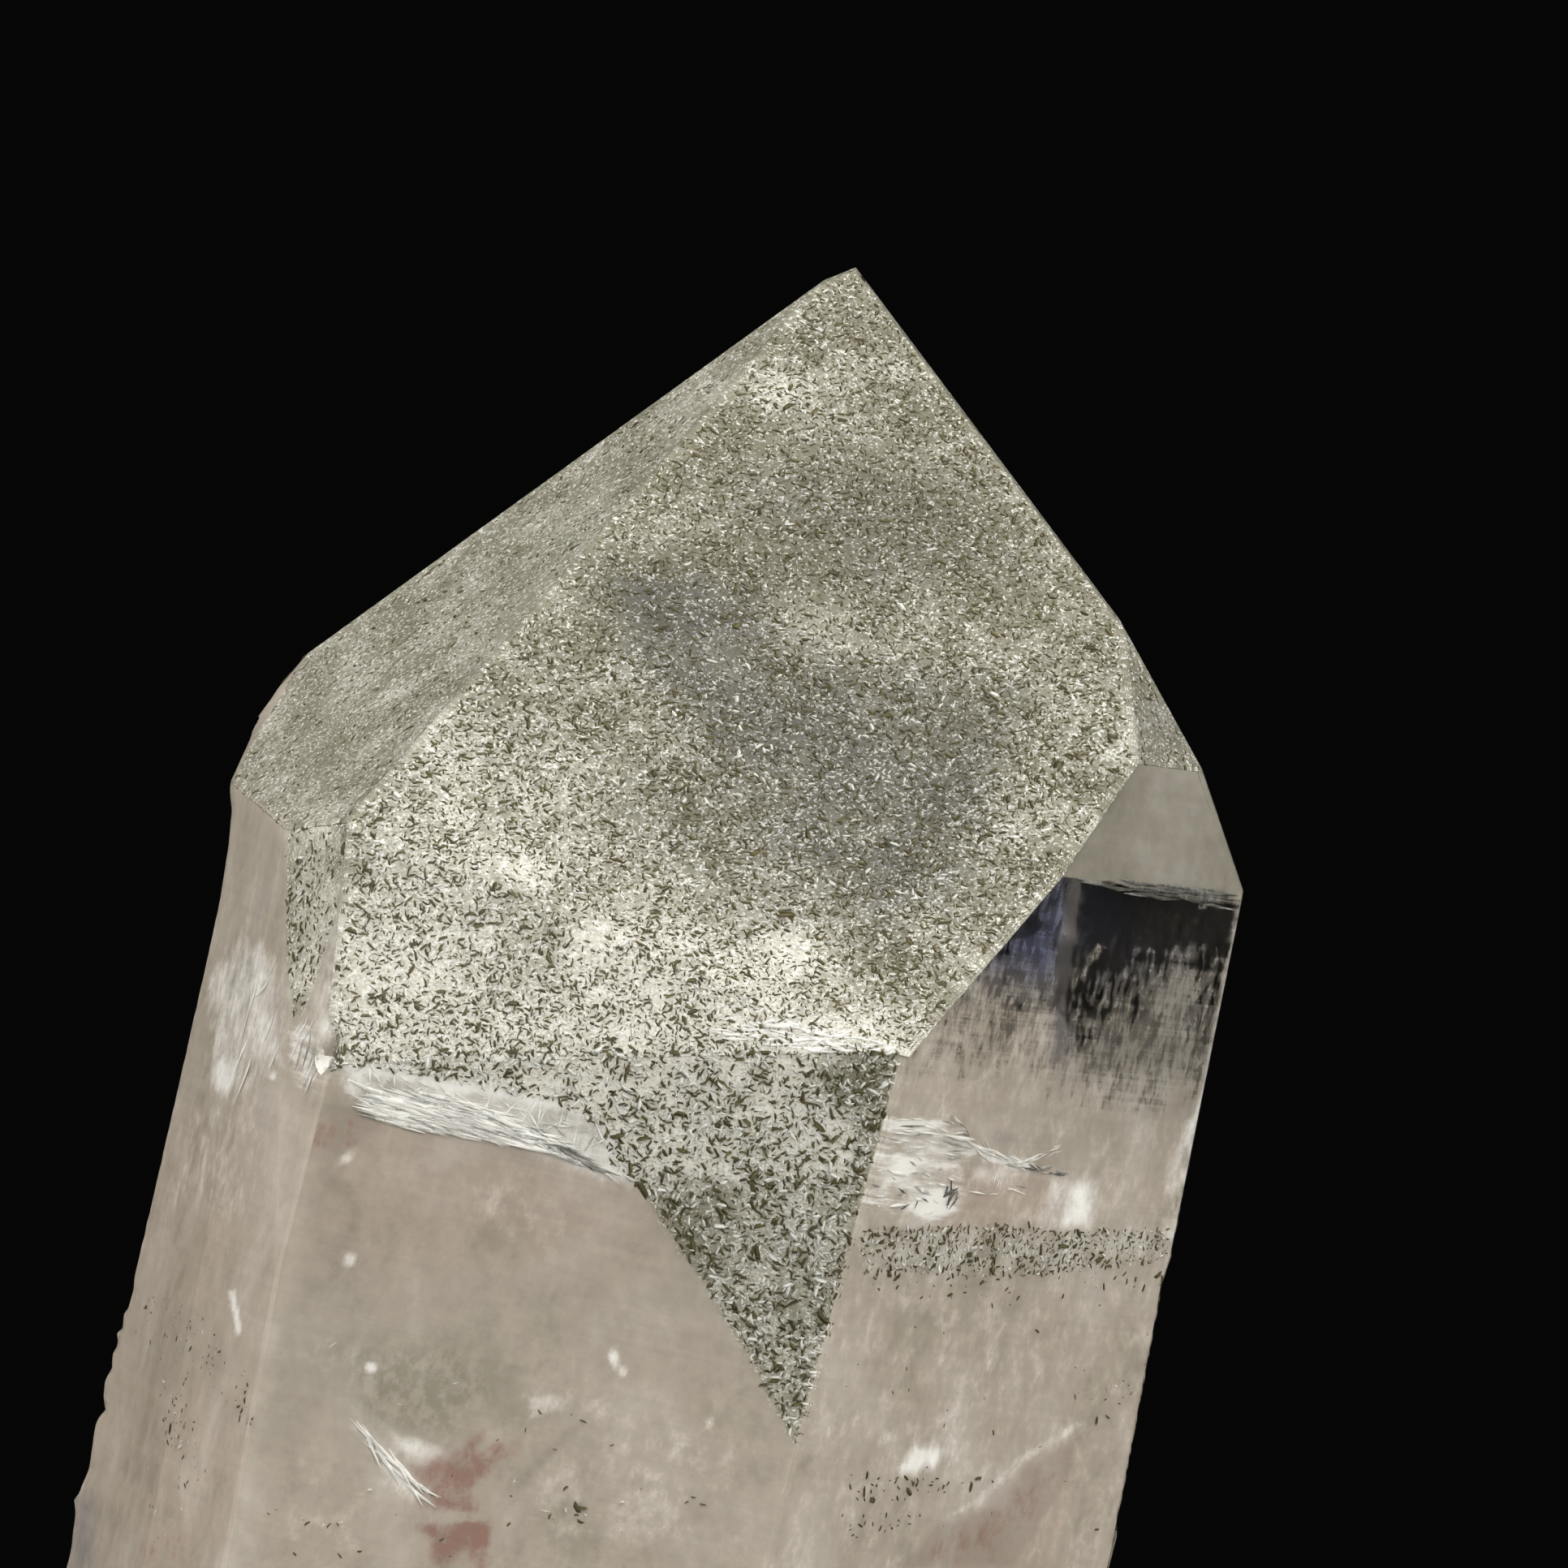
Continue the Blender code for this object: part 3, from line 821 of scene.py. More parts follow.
HAZE_STROKES = {
    "front_side": HAZE_BASE + [
        # Painted shade over the whole face, along its left edge and in patches
        ("smoke", 0.13, None, 0),
        ("smoke", 0.05, [(300, 1660), (960, 1660), (960, 1960), (300, 1960)], 160),
        ("dust", 1.0, TRIANGLE, 30),
        ("light", 0.42, TRIANGLE, 20),
        ("light", 1.15, [(400, 1300), (1030, 1300), (1050, 1440), (760, 1450), (480, 1340)], 60),
        ("light", 0.1, oval(1040, 1335, 70, 44), 0),
        ("rose", 0.9, [(380, 1330), (760, 1450), (800, 1560), (360, 1560)], 120),
        ("smoke", 0.20, [(386, 1340), (470, 1345), (450, 1500), (410, 1720), (340, 1800), (296, 1800), (314, 1785),
                         (361, 1480)], 70),
        ("smoke", 0.10, [(386, 1350), (560, 1400), (760, 1450), (600, 1480), (390, 1440)], 50),
        ("rust", 0.40, [(378, 1352), (440, 1366), (470, 1388), (440, 1412), (400, 1432), (372, 1426)], 14),
        ("smoke", 0.24, [(378, 1352), (440, 1366), (470, 1388), (440, 1412), (400, 1432), (372, 1426)], 14),
        ("dust", 0.0, [(404, 1318), (520, 1330), (640, 1352), (760, 1400), (770, 1450), (600, 1420), (404, 1360)], 16),
        ("light", 0.48, [(412, 1322), (520, 1334), (640, 1354), (746, 1380), (754, 1434), (700, 1428), (600, 1394),
                         (430, 1352)], 16),
        ("light", 0.95, oval(442, 1322, 16, 18), 0),
        # Painted shade over the bright reflection in the chip's hollow
        ("smoke", 0.45, oval(402, 1306, 30, 34), 0),
        ("light", 0.95, oval(550, 1350, 26, 8, 12), 0),
        ("crack", 0.36, [(500, 1338), (640, 1354), (748, 1388), (756, 1436), (700, 1420), (560, 1360)], 14),
        ("crack", 0.70, [(430, 1350), (507, 1342), (567, 1352), (643, 1381), (700, 1415), (663, 1414), (567, 1399),
                         (481, 1384)], 14),
        ("olive", 1.0, [(452, 1280), (494, 1280), (494, 1328), (456, 1328)], 16),
        ("dust", 0.0, [(452, 1290), (494, 1290), (494, 1328), (456, 1328)], 16),
        ("olive", 0.8, [(420, 1660), (560, 1650), (620, 1700), (560, 1770), (440, 1760)], 60),
        ("smoke", 0.08, [(440, 1680), (560, 1670), (600, 1710), (550, 1770), (450, 1760)], 70),
        ("smoke", 0.14, oval(770, 1560, 130, 80, 20), 0),
        ("light", 0.18, oval(640, 1490, 170, 80, 20), 0),
        ("light", 0.24, oval(430, 1665, 80, 40, -10), 0),
        ("light", 0.8, oval(430, 1552, 16, 20), 0),
        ("light", 1.0, oval(458, 1685, 12, 12), 0),
        ("light", 1.1, oval(757, 1675, 12, 22, -10), 0),
        ("light", 0.8, oval(768, 1690, 10, 14), 0),
        ("light", 0.7, oval(875, 1752, 10, 14), 0),
        ("light", 0.55, [(480, 1765), (540, 1780), (560, 1796), (520, 1806), (490, 1790)], 24),
        ("light", 0.15, [(620, 1720), (720, 1700), (860, 1740), (940, 1800), (900, 1932), (700, 1932), (640, 1850)], 90),
        ("light", 0.40, [(651, 1722), (700, 1716), (702, 1740), (655, 1744)], 20),
        ("light", 0.50, [(438, 1757), (450, 1762), (488, 1800), (534, 1846), (528, 1856), (500, 1846), (470, 1815)], 24),
        ("light", 0.10, [(350, 1780), (440, 1800), (500, 1932), (330, 1932)], 90),
        ("light", 0.60, oval(424, 1428, 30, 12, -38), 0),
        ("rust", 0.55, [(506, 1806), (548, 1780), (572, 1760), (600, 1790), (646, 1766), (638, 1800), (590, 1826),
                        (588, 1850), (600, 1870), (606, 1932), (530, 1932), (530, 1900), (506, 1880), (520, 1862)], 40),
        ("rust", 1.0, oval(566, 1812, 34, 34, 30), 0),
        ("rust", 0.9, oval(574, 1788, 50, 14, -50), 0),
        ("rust", 0.9, oval(556, 1852, 40, 12, 20), 0),
        ("rust", 0.95, [(516, 1880), (604, 1876), (600, 1900), (560, 1914), (552, 1932), (536, 1932), (534, 1900)], 20),
        ("rust", 0.25, [(540, 1862), (600, 1864), (596, 1874), (520, 1877)], 8),
        ("rust", 0.30, oval(650, 1800, 40, 16, 30), 0),
        ("rust", 0.35, oval(800, 1800, 30, 14, 40), 0),
        ("rust", 0.45, oval(785, 1922, 60, 14), 0),
        ("smoke", 0.20, [(700, 1757), (716, 1757), (640, 1836), (628, 1832)], 10),
        ("smoke", 0.20, [(716, 1768), (728, 1768), (722, 1860), (712, 1860)], 10),
    ],
    "front_foot_side": HAZE_BASE,
    "right_front_side": HAZE_BASE + [
        ("rose", 0.35, None, 0),
        ("light", 0.13, None, 0),
        ("dust", 0.40, BAND, 44),
        ("light", 0.35, BAND, 44),
        ("olive", 0.4, BAND, 44),
        ("haze", 0.80, [(1322, 1040), (1322, 1345), (1190, 1345), (1090, 1345), (1130, 1230)], 110),
        ("haze", 0.52, [(1322, 1040), (1322, 1260), (1250, 1270), (1190, 1260), (1150, 1200)], 120),
        ("haze", 0.12, [(1322, 1040), (1322, 1130), (1280, 1160), (1230, 1190), (1200, 1180)], 90),
        ("haze", 0.70, [(1322, 1080), (1534, 1108), (1505, 1345), (1400, 1400), (1305, 1350)], 110),
        ("haze", 0.46, [(1322, 1080), (1534, 1108), (1512, 1290), (1400, 1290), (1312, 1300)], 100),
        ("haze", 0.28, [(1322, 1078), (1534, 1106), (1518, 1230), (1420, 1240), (1312, 1290)], 80),
        ("haze", -0.05, [(1322, 1078), (1534, 1106), (1522, 1170), (1420, 1170), (1318, 1230)], 70),
        ("haze", 0.85, oval(1448, 1228, 60, 44, -20), 0),
        ("haze", 0.30, [(1480, 1200), (1508, 1200), (1488, 1350), (1470, 1350)], 40),
        # Painted shade in and below the clear window
        ("smoke", 0.50, [(1322, 1180), (1516, 1180), (1490, 1360), (1320, 1340)], 90),
        ("smoke", 0.10, [(1200, 1340), (1490, 1340), (1470, 1440), (1320, 1440)], 70),
        ("smoke", 0.25, oval(1430, 1360, 110, 60), 0),
        # Painted bluish shade in the clear window
        ("blue", 0.5, [(1322, 1060), (1534, 1100), (1518, 1170), (1300, 1230), (1180, 1200)], 70),
        ("blue", 1.0, [(1322, 1060), (1410, 1075), (1390, 1170), (1300, 1210), (1200, 1175)], 60),
        ("blue", 0.35, oval(1310, 1250, 30, 120), 0),
        ("even", 0.85, [(1318, 1070), (1336, 1074), (1322, 1180), (1310, 1310), (1298, 1310), (1304, 1200)], 12),
        ("haze", 0.29, [(1316, 1070), (1337, 1074), (1323, 1180), (1308, 1250), (1300, 1250), (1304, 1180)], 10),
        ("haze", 0.46, oval(1319, 1150, 14, 26, 96), 0),
        ("haze", 0.40, [(1304, 1236), (1312, 1236), (1309, 1310), (1300, 1310)], 10),
        ("blue", 0.35, [(1318, 1070), (1336, 1074), (1320, 1240), (1302, 1240)], 20),
        ("haze", 0.10, [(1328, 1150), (1334, 1150), (1318, 1260), (1313, 1260)], 10),
        ("haze", 0.50, [(1322, 1222), (1318, 1214), (1352, 1164), (1362, 1168)], 10),
        ("blue", 0.10, [(1322, 1226), (1314, 1214), (1352, 1160), (1366, 1168)], 14),
        ("haze", 0.55, [(1342, 1080), (1536, 1098), (1534, 1104), (1342, 1087)], 5),
        ("haze", 0.45, [(1410, 1099), (1536, 1110), (1534, 1115), (1410, 1103)], 6),
        ("haze", 0.35, [(1470, 1114), (1536, 1121), (1534, 1126), (1470, 1118)], 6),
        ("blue", 0.1, [(1330, 1070), (1540, 1090), (1536, 1124), (1400, 1106), (1336, 1090)], 12),
        # Painted highlight along the right edge, with no bluish shade
        ("haze", 1.0, [(1520, 1150), (1532, 1106), (1546, 1106), (1506, 1330), (1478, 1460), (1464, 1524), (1440, 1524),
                       (1450, 1440), (1481, 1330), (1508, 1200)], 8),
        ("blue", 0.0, [(1520, 1150), (1532, 1106), (1546, 1106), (1506, 1330), (1478, 1460), (1464, 1524), (1440, 1524),
                       (1450, 1440), (1481, 1330), (1508, 1200)], 8),
        ("light", 1.0, [(1522, 1150), (1534, 1106), (1546, 1106), (1506, 1330), (1478, 1460), (1464, 1524), (1448, 1524),
                        (1455, 1440), (1485, 1330), (1511, 1200)], 8),
        ("light", 0.40, [(1288, 1450), (1350, 1446), (1352, 1512), (1284, 1516)], 30),
        ("light", 0.9, [(1312, 1464), (1344, 1458), (1348, 1472), (1334, 1504), (1310, 1510), (1318, 1480)], 26),
        ("light", 0.75, [(1462, 1380), (1484, 1370), (1470, 1470), (1462, 1524), (1440, 1524), (1448, 1440)], 14),
        ("crack", 0.40, [(1096, 1375), (1174, 1378), (1190, 1392), (1206, 1418), (1188, 1440), (1190, 1484), (1150, 1508),
                         (1063, 1486), (1086, 1400)], 16),
        ("crack", 1.0, oval(1128, 1388, 50, 14, 4), 0),
        ("crack", 1.1, oval(1150, 1486, 40, 26, -20), 0),
        ("crack", 0.95, oval(1112, 1440, 40, 22, -20), 0),
        ("crack", 0.30, oval(1100, 1470, 34, 16, 0), 0),
        ("light", 0.5, oval(1228, 1447, 52, 20, 8), 0),
        ("blue", 0.25, oval(1236, 1402, 26, 14, 10), 0),
        ("light", 0.9, [(1200, 1412), (1216, 1418), (1276, 1436), (1270, 1442), (1212, 1430)], 8),
        ("rose", 1.0, [(1170, 1440), (1300, 1450), (1290, 1520), (1150, 1520)], 40),
        ("light", 0.90, [(1106, 1810), (1126, 1786), (1150, 1778), (1166, 1790), (1150, 1806), (1120, 1816)], 22),
        ("light", 0.50, [(1160, 1790), (1172, 1740), (1196, 1724), (1190, 1760), (1176, 1800)], 20),
        ("light", 0.55, oval(1090, 1772, 22, 12, -40), 0),
        ("light", 0.20, [(1240, 1600), (1270, 1600), (1190, 1780), (1150, 1780)], 50),
        ("light", 0.30, [(1440, 1440), (1470, 1400), (1452, 1520), (1430, 1520)], 24),
        ("rose", 1.0, [(1330, 1762), (1260, 1810), (1205, 1865), (1150, 1900), (1110, 1932), (1300, 1932)], 14),
        ("smoke", 0.20, [(1336, 1764), (1300, 1786), (1262, 1812), (1206, 1862), (1160, 1876), (1106, 1932), (1250, 1932),
                         (1300, 1850)], 12),
        ("rust", 0.55, [(1316, 1790), (1262, 1822), (1210, 1872), (1160, 1884), (1120, 1932), (1240, 1932)], 60),
        ("light", 0.40, [(1338, 1754), (1262, 1804), (1206, 1856), (1160, 1872), (1198, 1848), (1254, 1796),
                         (1332, 1748)], 8),
    ],
    # The steep right face: painted shade over all of it
    "right_steep": HAZE_BASE + [("rose", 0.0, None, 0), ("olive", 0.4, None, 0), ("smoke", 0.30, None, 0)],
    "left_steep": LEFT,
    "left_side": LEFT,
    "left_front_outer_side": LEFT,
    "left_front_side": LEFT,
    "left_front_steep": LEFT + [
        ("light", 0.36, [(384, 1100), (430, 1060), (412, 1290), (376, 1300)], 24),
        ("dust", 1.0, STRIP, 16),
        ("olive", 0.5, STRIP, 30),
        ("light", 0.42, STRIP, 16),
        ("crack", 0.5, [(356, 1262), (384, 1262), (392, 1342), (374, 1344), (360, 1320)], 14),
        # No painted light here, and painted shade over the bright reflection in the chip's hollow
        ("light", 0.0, oval(402, 1306, 34, 34), 0),
        ("smoke", 0.45, oval(402, 1306, 30, 30), 0),
    ],
    "right_rim": HAZE_BASE + [("light", 0.5, None, 0)],
    "right_back_side": BACK_VEIL,
    "back_side": BACK_VEIL,
    "left_back_side": BACK_VEIL,
}
FRONT = ("main_slope", "left_slope", "right_small_slope", "front_steep", "left_front_steep", "front_side",
         "right_front_side", "right_steep", "left_steep", "left_side", "left_front_outer_side", "left_front_side")


FINE = ("front_side", "right_front_side")


def worm(bend, twist):
    """One flake: a short bent rod with pointed ends, one long, lying along X."""
    bm = bmesh.new()
    bmesh.ops.create_cone(bm, cap_ends=True, cap_tris=True, segments=3, radius1=0.2, radius2=0.2, depth=0.5)
    for vert in bm.verts:
        if math.hypot(vert.co.x, vert.co.y) < 0.01:
            vert.co.z *= 2.0
    bmesh.ops.rotate(bm, cent=(0.0, 0.0, 0.0), matrix=Matrix.Rotation(math.pi / 2, 3, "Y"), verts=bm.verts)
    for vert in bm.verts:
        x = vert.co.x
        vert.co.y += bend * (x * x - 0.08) + twist * x
        vert.co.z *= 0.8
    bmesh.ops.triangulate(bm, faces=bm.faces[:])
    bmesh.ops.recalc_face_normals(bm, faces=bm.faces[:])
    points = np.array([vert.co[:] for vert in bm.verts])
    faces = np.array([[vert.index for vert in face.verts] for face in bm.faces])
    bm.free()
    return points, faces


WORMS = [(0.0, 0.0), (0.7, 0.0), (-0.7, 0.2), (0.4, -0.3), (-0.5, -0.2), (1.0, 0.1)]


def chip_shape(skew, width=0.15):
    """One chip of a crack wall: a thin long plate with pointed ends."""
    bm = bmesh.new()
    bmesh.ops.create_cube(bm, size=1.0)
    bmesh.ops.scale(bm, vec=(1.0, width, 0.03), verts=bm.verts)
    long_edges = [edge for edge in bm.edges if abs(edge.verts[0].co.x - edge.verts[1].co.x) > 0.5]
    bmesh.ops.subdivide_edges(bm, edges=long_edges, cuts=1)
    for vert in bm.verts:
        x = vert.co.x
        vert.co.y = vert.co.y * (1.0 - 1.7 * abs(x)) + skew * x * x
        vert.co.z += 0.12 * skew * x
    bmesh.ops.triangulate(bm, faces=bm.faces[:])
    points = np.array([vert.co[:] for vert in bm.verts])
    faces = np.array([[vert.index for vert in face.verts] for face in bm.faces])
    bm.free()
    return points, faces


def scatter(name, face, depth, rng, spots, lengths, angles, tones, finish, shapes, tilt=0.25):
    """Joined copies of small shapes under a face, at the picture points in spots."""
    normal = face_normal(face)
    level = np.cross((0.0, 0.0, 1.0), normal)
    level /= np.linalg.norm(level)
    rise = np.cross(normal, level)
    places = place_under(face, spots[:, 0], spots[:, 1], depth)
    places = clear_of_chips(clear_of_steps(face, places, depth), depth)
    reach = np.cos(angles)[:, None] * level + np.sin(angles)[:, None] * rise
    ends = [places + reach * (lengths * half)[:, None] for half in (-0.5, 0.0, 0.5)]
    room = np.min(
        [(face_point(other, 0.0) - end) @ face_normal(other) for other in FACES if other != face for end in ends], axis=0
    )
    kept = room > 0.6 * depth
    places, lengths, angles, tones = places[kept], lengths[kept], angles[kept], tones[kept]
    kinds = rng.integers(0, len(shapes), len(places))
    steepest = np.arcsin(np.minimum(1.0, 1.2 * depth / lengths))
    leans = np.clip(rng.normal(0.0, tilt, len(places)), -steepest, steepest)
    widths = rng.uniform(0.6, 1.15, len(places))
    all_points, all_faces, all_tones, start = [], [], [], 0
    for kind, (points, faces) in enumerate(shapes):
        chosen = kinds == kind
        count = int(chosen.sum())
        if not count:
            continue
        turn = angles[chosen][:, None]
        along = np.cos(turn) * level + np.sin(turn) * rise
        across = -np.sin(turn) * level + np.cos(turn) * rise
        lean = leans[chosen][:, None]
        along, out = along * np.cos(lean) + normal * np.sin(lean), normal * np.cos(lean) - along * np.sin(lean)
        size = lengths[chosen][:, None, None]
        wide = widths[chosen][:, None, None]
        moved = (
            points[None, :, 0:1] * along[:, None, :] * size
            + points[None, :, 1:2] * across[:, None, :] * size * wide
            + points[None, :, 2:3] * out[:, None, :] * size
            + places[chosen][:, None, :]
        )
        all_points.append(moved.reshape(-1, 3))
        offsets = start + np.arange(count)[:, None, None] * len(points)
        all_faces.append((faces[None] + offsets).reshape(-1, 3))
        all_tones.append(np.repeat(tones[chosen], len(points)))
        start += count * len(points)
    mesh = joined_mesh(name, np.concatenate(all_points), np.concatenate(all_faces))
    attribute = mesh.attributes.new("tone", "FLOAT", "POINT")
    attribute.data.foreach_set("value", np.concatenate(all_tones).astype(np.float32))
    mesh.materials.append(finish)
    flakes = bpy.data.objects.new(name, mesh)
    bpy.context.scene.collection.objects.link(flakes)
    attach(flakes, "root")
    return flakes


def joined_mesh(name, points, faces):
    mesh = bpy.data.meshes.new(name)
    mesh.vertices.add(len(points))
    mesh.vertices.foreach_set("co", points.astype(np.float32).ravel())
    mesh.loops.add(faces.size)
    mesh.loops.foreach_set("vertex_index", faces.astype(np.int32).ravel())
    mesh.polygons.add(len(faces))
    mesh.polygons.foreach_set("loop_start", np.arange(0, faces.size, 3, dtype=np.int32))
    mesh.update(calc_edges=True)
    return mesh


def shown(face, x, y):
    """Whether a face is the one that shows at these picture points."""
    entries = []
    for other in FACES:
        normal = face_normal(other)
        way, _ = bent_ways(x, y, normal)
        slope = way @ normal
        far = ((face_point(other, 0.0) - EYE) @ normal) / slope
        entries.append(np.where(slope < 0.0, far, -1.0))
    return np.argmax(np.array(entries), axis=0) == list(FACES).index(face)


def grains_in(rng, outline, spacing, density):
    """Random picture points in an outline, one per spacing squared where the density is 1."""
    xs = [x for x, _ in outline]
    ys = [y for _, y in outline]
    x, y = np.meshgrid(np.arange(min(xs), max(xs), spacing), np.arange(min(ys), max(ys), spacing))
    x = x.ravel() + rng.uniform(-0.42, 0.42, x.size) * spacing
    y = y.ravel() + rng.uniform(-0.42, 0.42, y.size) * spacing
    keep = rng.random(x.size) < inside(outline, x, y, 2.0) * density(x, y)
    return np.stack((x[keep], y[keep]), axis=1)


# Parts of the main slope with fewer flakes: middle, radii, turn, share left out
THIN = (
    ((640, 1080), (70, 50), 20, 0.4),
    ((720, 1165), (70, 50), -20, 0.6),
    ((975, 1170), (70, 44), 30, 0.6),
    ((1000, 1275), (140, 30), 5, 0.5),
    ((500, 1190), (120, 110), 0, 0.3),
    ((860, 790), (130, 90), 20, 0.5),
    ((1080, 950), (190, 110), 15, 0.4),
)


def crowd(x, y, full):
    """The share of places taken by flakes: less in the thin parts, and uneven all over."""
    share = np.full(np.shape(x), full)
    for middle, radii, turn, less in THIN:
        share = share * (1.0 - less * blot(x, y, middle, radii, turn))
    uneven = [noise.noise(Vector((px / 42.0, py / 30.0, 3.0))) for px, py in zip(x, y)]
    return share * (1.0 - 0.5 * ease((np.array(uneven) - 0.05) / 0.35))


def make_flakes(finish):
    rng = np.random.default_rng(11)
    shapes = [worm(bend, twist) for bend, twist in WORMS]
    top = [(1000, 360), (1055, 332), (1380, 768), (1386, 830), (628, 790)]
    foot = [(628, 790), (1386, 830), (1396, 938), (1305, 1078), (1114, 1296), (432, 1010)]
    slope = [(990, 358), (370, 812), (286, 962), (350, 1018), (430, 1008)]
    left_a = [(165, 1580), (250, 1620), (330, 1720), (320, 1780), (270, 1720), (160, 1650)]
    left_b = [(196, 1690), (236, 1690), (244, 1780), (200, 1790)]
    left_c = [(180, 1790), (240, 1750), (260, 1800), (200, 1900), (180, 1900)]
    regions = (
        ("main_slope_top", "main_slope", top, 5.0, 5.6, 0.96, 1.0, 0.10),
        ("main_slope_foot", "main_slope", foot, 4.8, 6.0, 0.98, 0.9, 0.20),
        ("front_steep", "front_steep", [(432, 1012), (1114, 1298), (404, 1302)], 5.0, 6.4, 0.95, 0.9, 0.22),
        ("left_slope", "left_slope", slope, 5.8, 6.4, 0.78, 0.8, 0.16),
        ("left_strip", "left_front_steep", STRIP, 5.4, 6.6, 0.9, 1.0, 0.25),
        ("right_small_slope", "right_small_slope", [(1382, 772), (1480, 948), (1398, 938)], 5.6, 5.6, 0.8, 1.0, 0.1),
        ("triangle", "front_side", TRIANGLE, 5.4, 7.2, 0.98, 0.6, 0.40),
        ("band", "right_front_side", BAND, 5.2, 6.4, 1.1, 0.9, 0.22),
        ("band_edge", "right_front_side", [(1062, 1560), (1440, 1548), (1430, 1590), (1200, 1612), (1070, 1590)], 12.0, 6.4,
         0.6, 0.7, 0.1),
        ("right_low_a", "right_front_side", [(1035, 1815), (1230, 1822), (1140, 1850), (1060, 1855)], 8.0, 6.8, 0.6, 0.6,
         0.1),
        ("right_low_b", "right_front_side", [(1035, 1862), (1140, 1866), (1130, 1896), (1050, 1898)], 8.0, 6.8, 0.6, 0.6,
         0.1),
        ("right_low_c", "right_front_side", [(1330, 1696), (1400, 1696), (1395, 1722), (1320, 1728)], 9.0, 6.4, 0.6, 0.6,
         0.1),
        ("right_low_d", "right_front_side", [(1095, 1712), (1190, 1712), (1190, 1726), (1095, 1726)], 14.0, 6.0, 0.6, 0.6,
         0.0),
        ("right_low_e", "right_front_side", [(1060, 1590), (1430, 1590), (1380, 1932), (1000, 1932)], 44.0, 6.0, 0.6, 0.6,
         0.0),
        ("right_low_f", "right_front_side", [(1340, 1744), (1370, 1744), (1370, 1758), (1345, 1758)], 9.0, 6.0, 0.7, 0.6,
         0.0),
        ("left_low_a", "left_front_outer_side", left_a, 8.0, 5.6, 0.5, 0.9, 0.3),
        ("left_low_b", "left_front_outer_side", left_b, 7.0, 5.6, 0.6, 0.9, 0.3),
        ("left_low_c", "left_front_outer_side", left_c, 12.0, 5.6, 0.5, 0.9, 0.3),
        ("left_low_d", "left_front_side", left_a, 8.0, 5.6, 0.5, 0.9, 0.3),
        ("left_low_e", "left_front_side", left_b, 7.0, 5.6, 0.6, 0.9, 0.3),
        ("left_low_f", "left_front_side", left_c, 12.0, 5.6, 0.5, 0.9, 0.3),
        ("left_low_g", "left_front_side", [(290, 1700), (324, 1710), (318, 1765), (285, 1765)], 9.0, 5.6, 0.5, 0.8, 0.1),
        ("front_low_a", "front_side", [(676, 1850), (730, 1850), (728, 1880), (676, 1878)], 9.0, 6.4, 0.7, 0.8, 0.1),
        ("front_low_b", "front_side", [(840, 1836), (876, 1838), (874, 1856), (840, 1852)], 9.0, 6.4, 0.7, 0.8, 0.1),
        ("front_low_c", "front_side", [(305, 1871), (446, 1874), (446, 1883), (305, 1879)], 9.0, 6.0, 0.7, 0.8, 0.3),
        ("front_low_d", "front_side", [(640, 1720), (900, 1780), (880, 1900), (330, 1932), (320, 1860)], 34.0, 6.0, 0.5, 0.8,
         0.2),
        ("front_low_e", "front_side", [(656, 1736), (720, 1736), (710, 1760), (660, 1756)], 13.0, 6.0, 0.6, 0.9, 0.2),
    )
    for name, face, outline, spacing, size, density, tone, pale in regions:
        spots = grains_in(rng, outline, spacing, lambda x, y: crowd(x, y, density))
        if name.startswith("left_low"):
            spots = spots[shown(face, spots[:, 0], spots[:, 1])]
        count = len(spots)
        lengths = rng.gamma(5.0, size / 5.0, count) * POINT_SIZE
        flat = rng.random(count) < 0.12
        angles = np.where(flat, rng.normal(0.0, 0.4, count), rng.uniform(0, math.pi, count))
        tones = np.where(rng.random(count) < pale, 2.0, rng.random(count) * tone)
        scatter(f"flakes_{name}", face, FLAKE_DEPTH, rng, spots, lengths, angles, tones, finish, shapes)


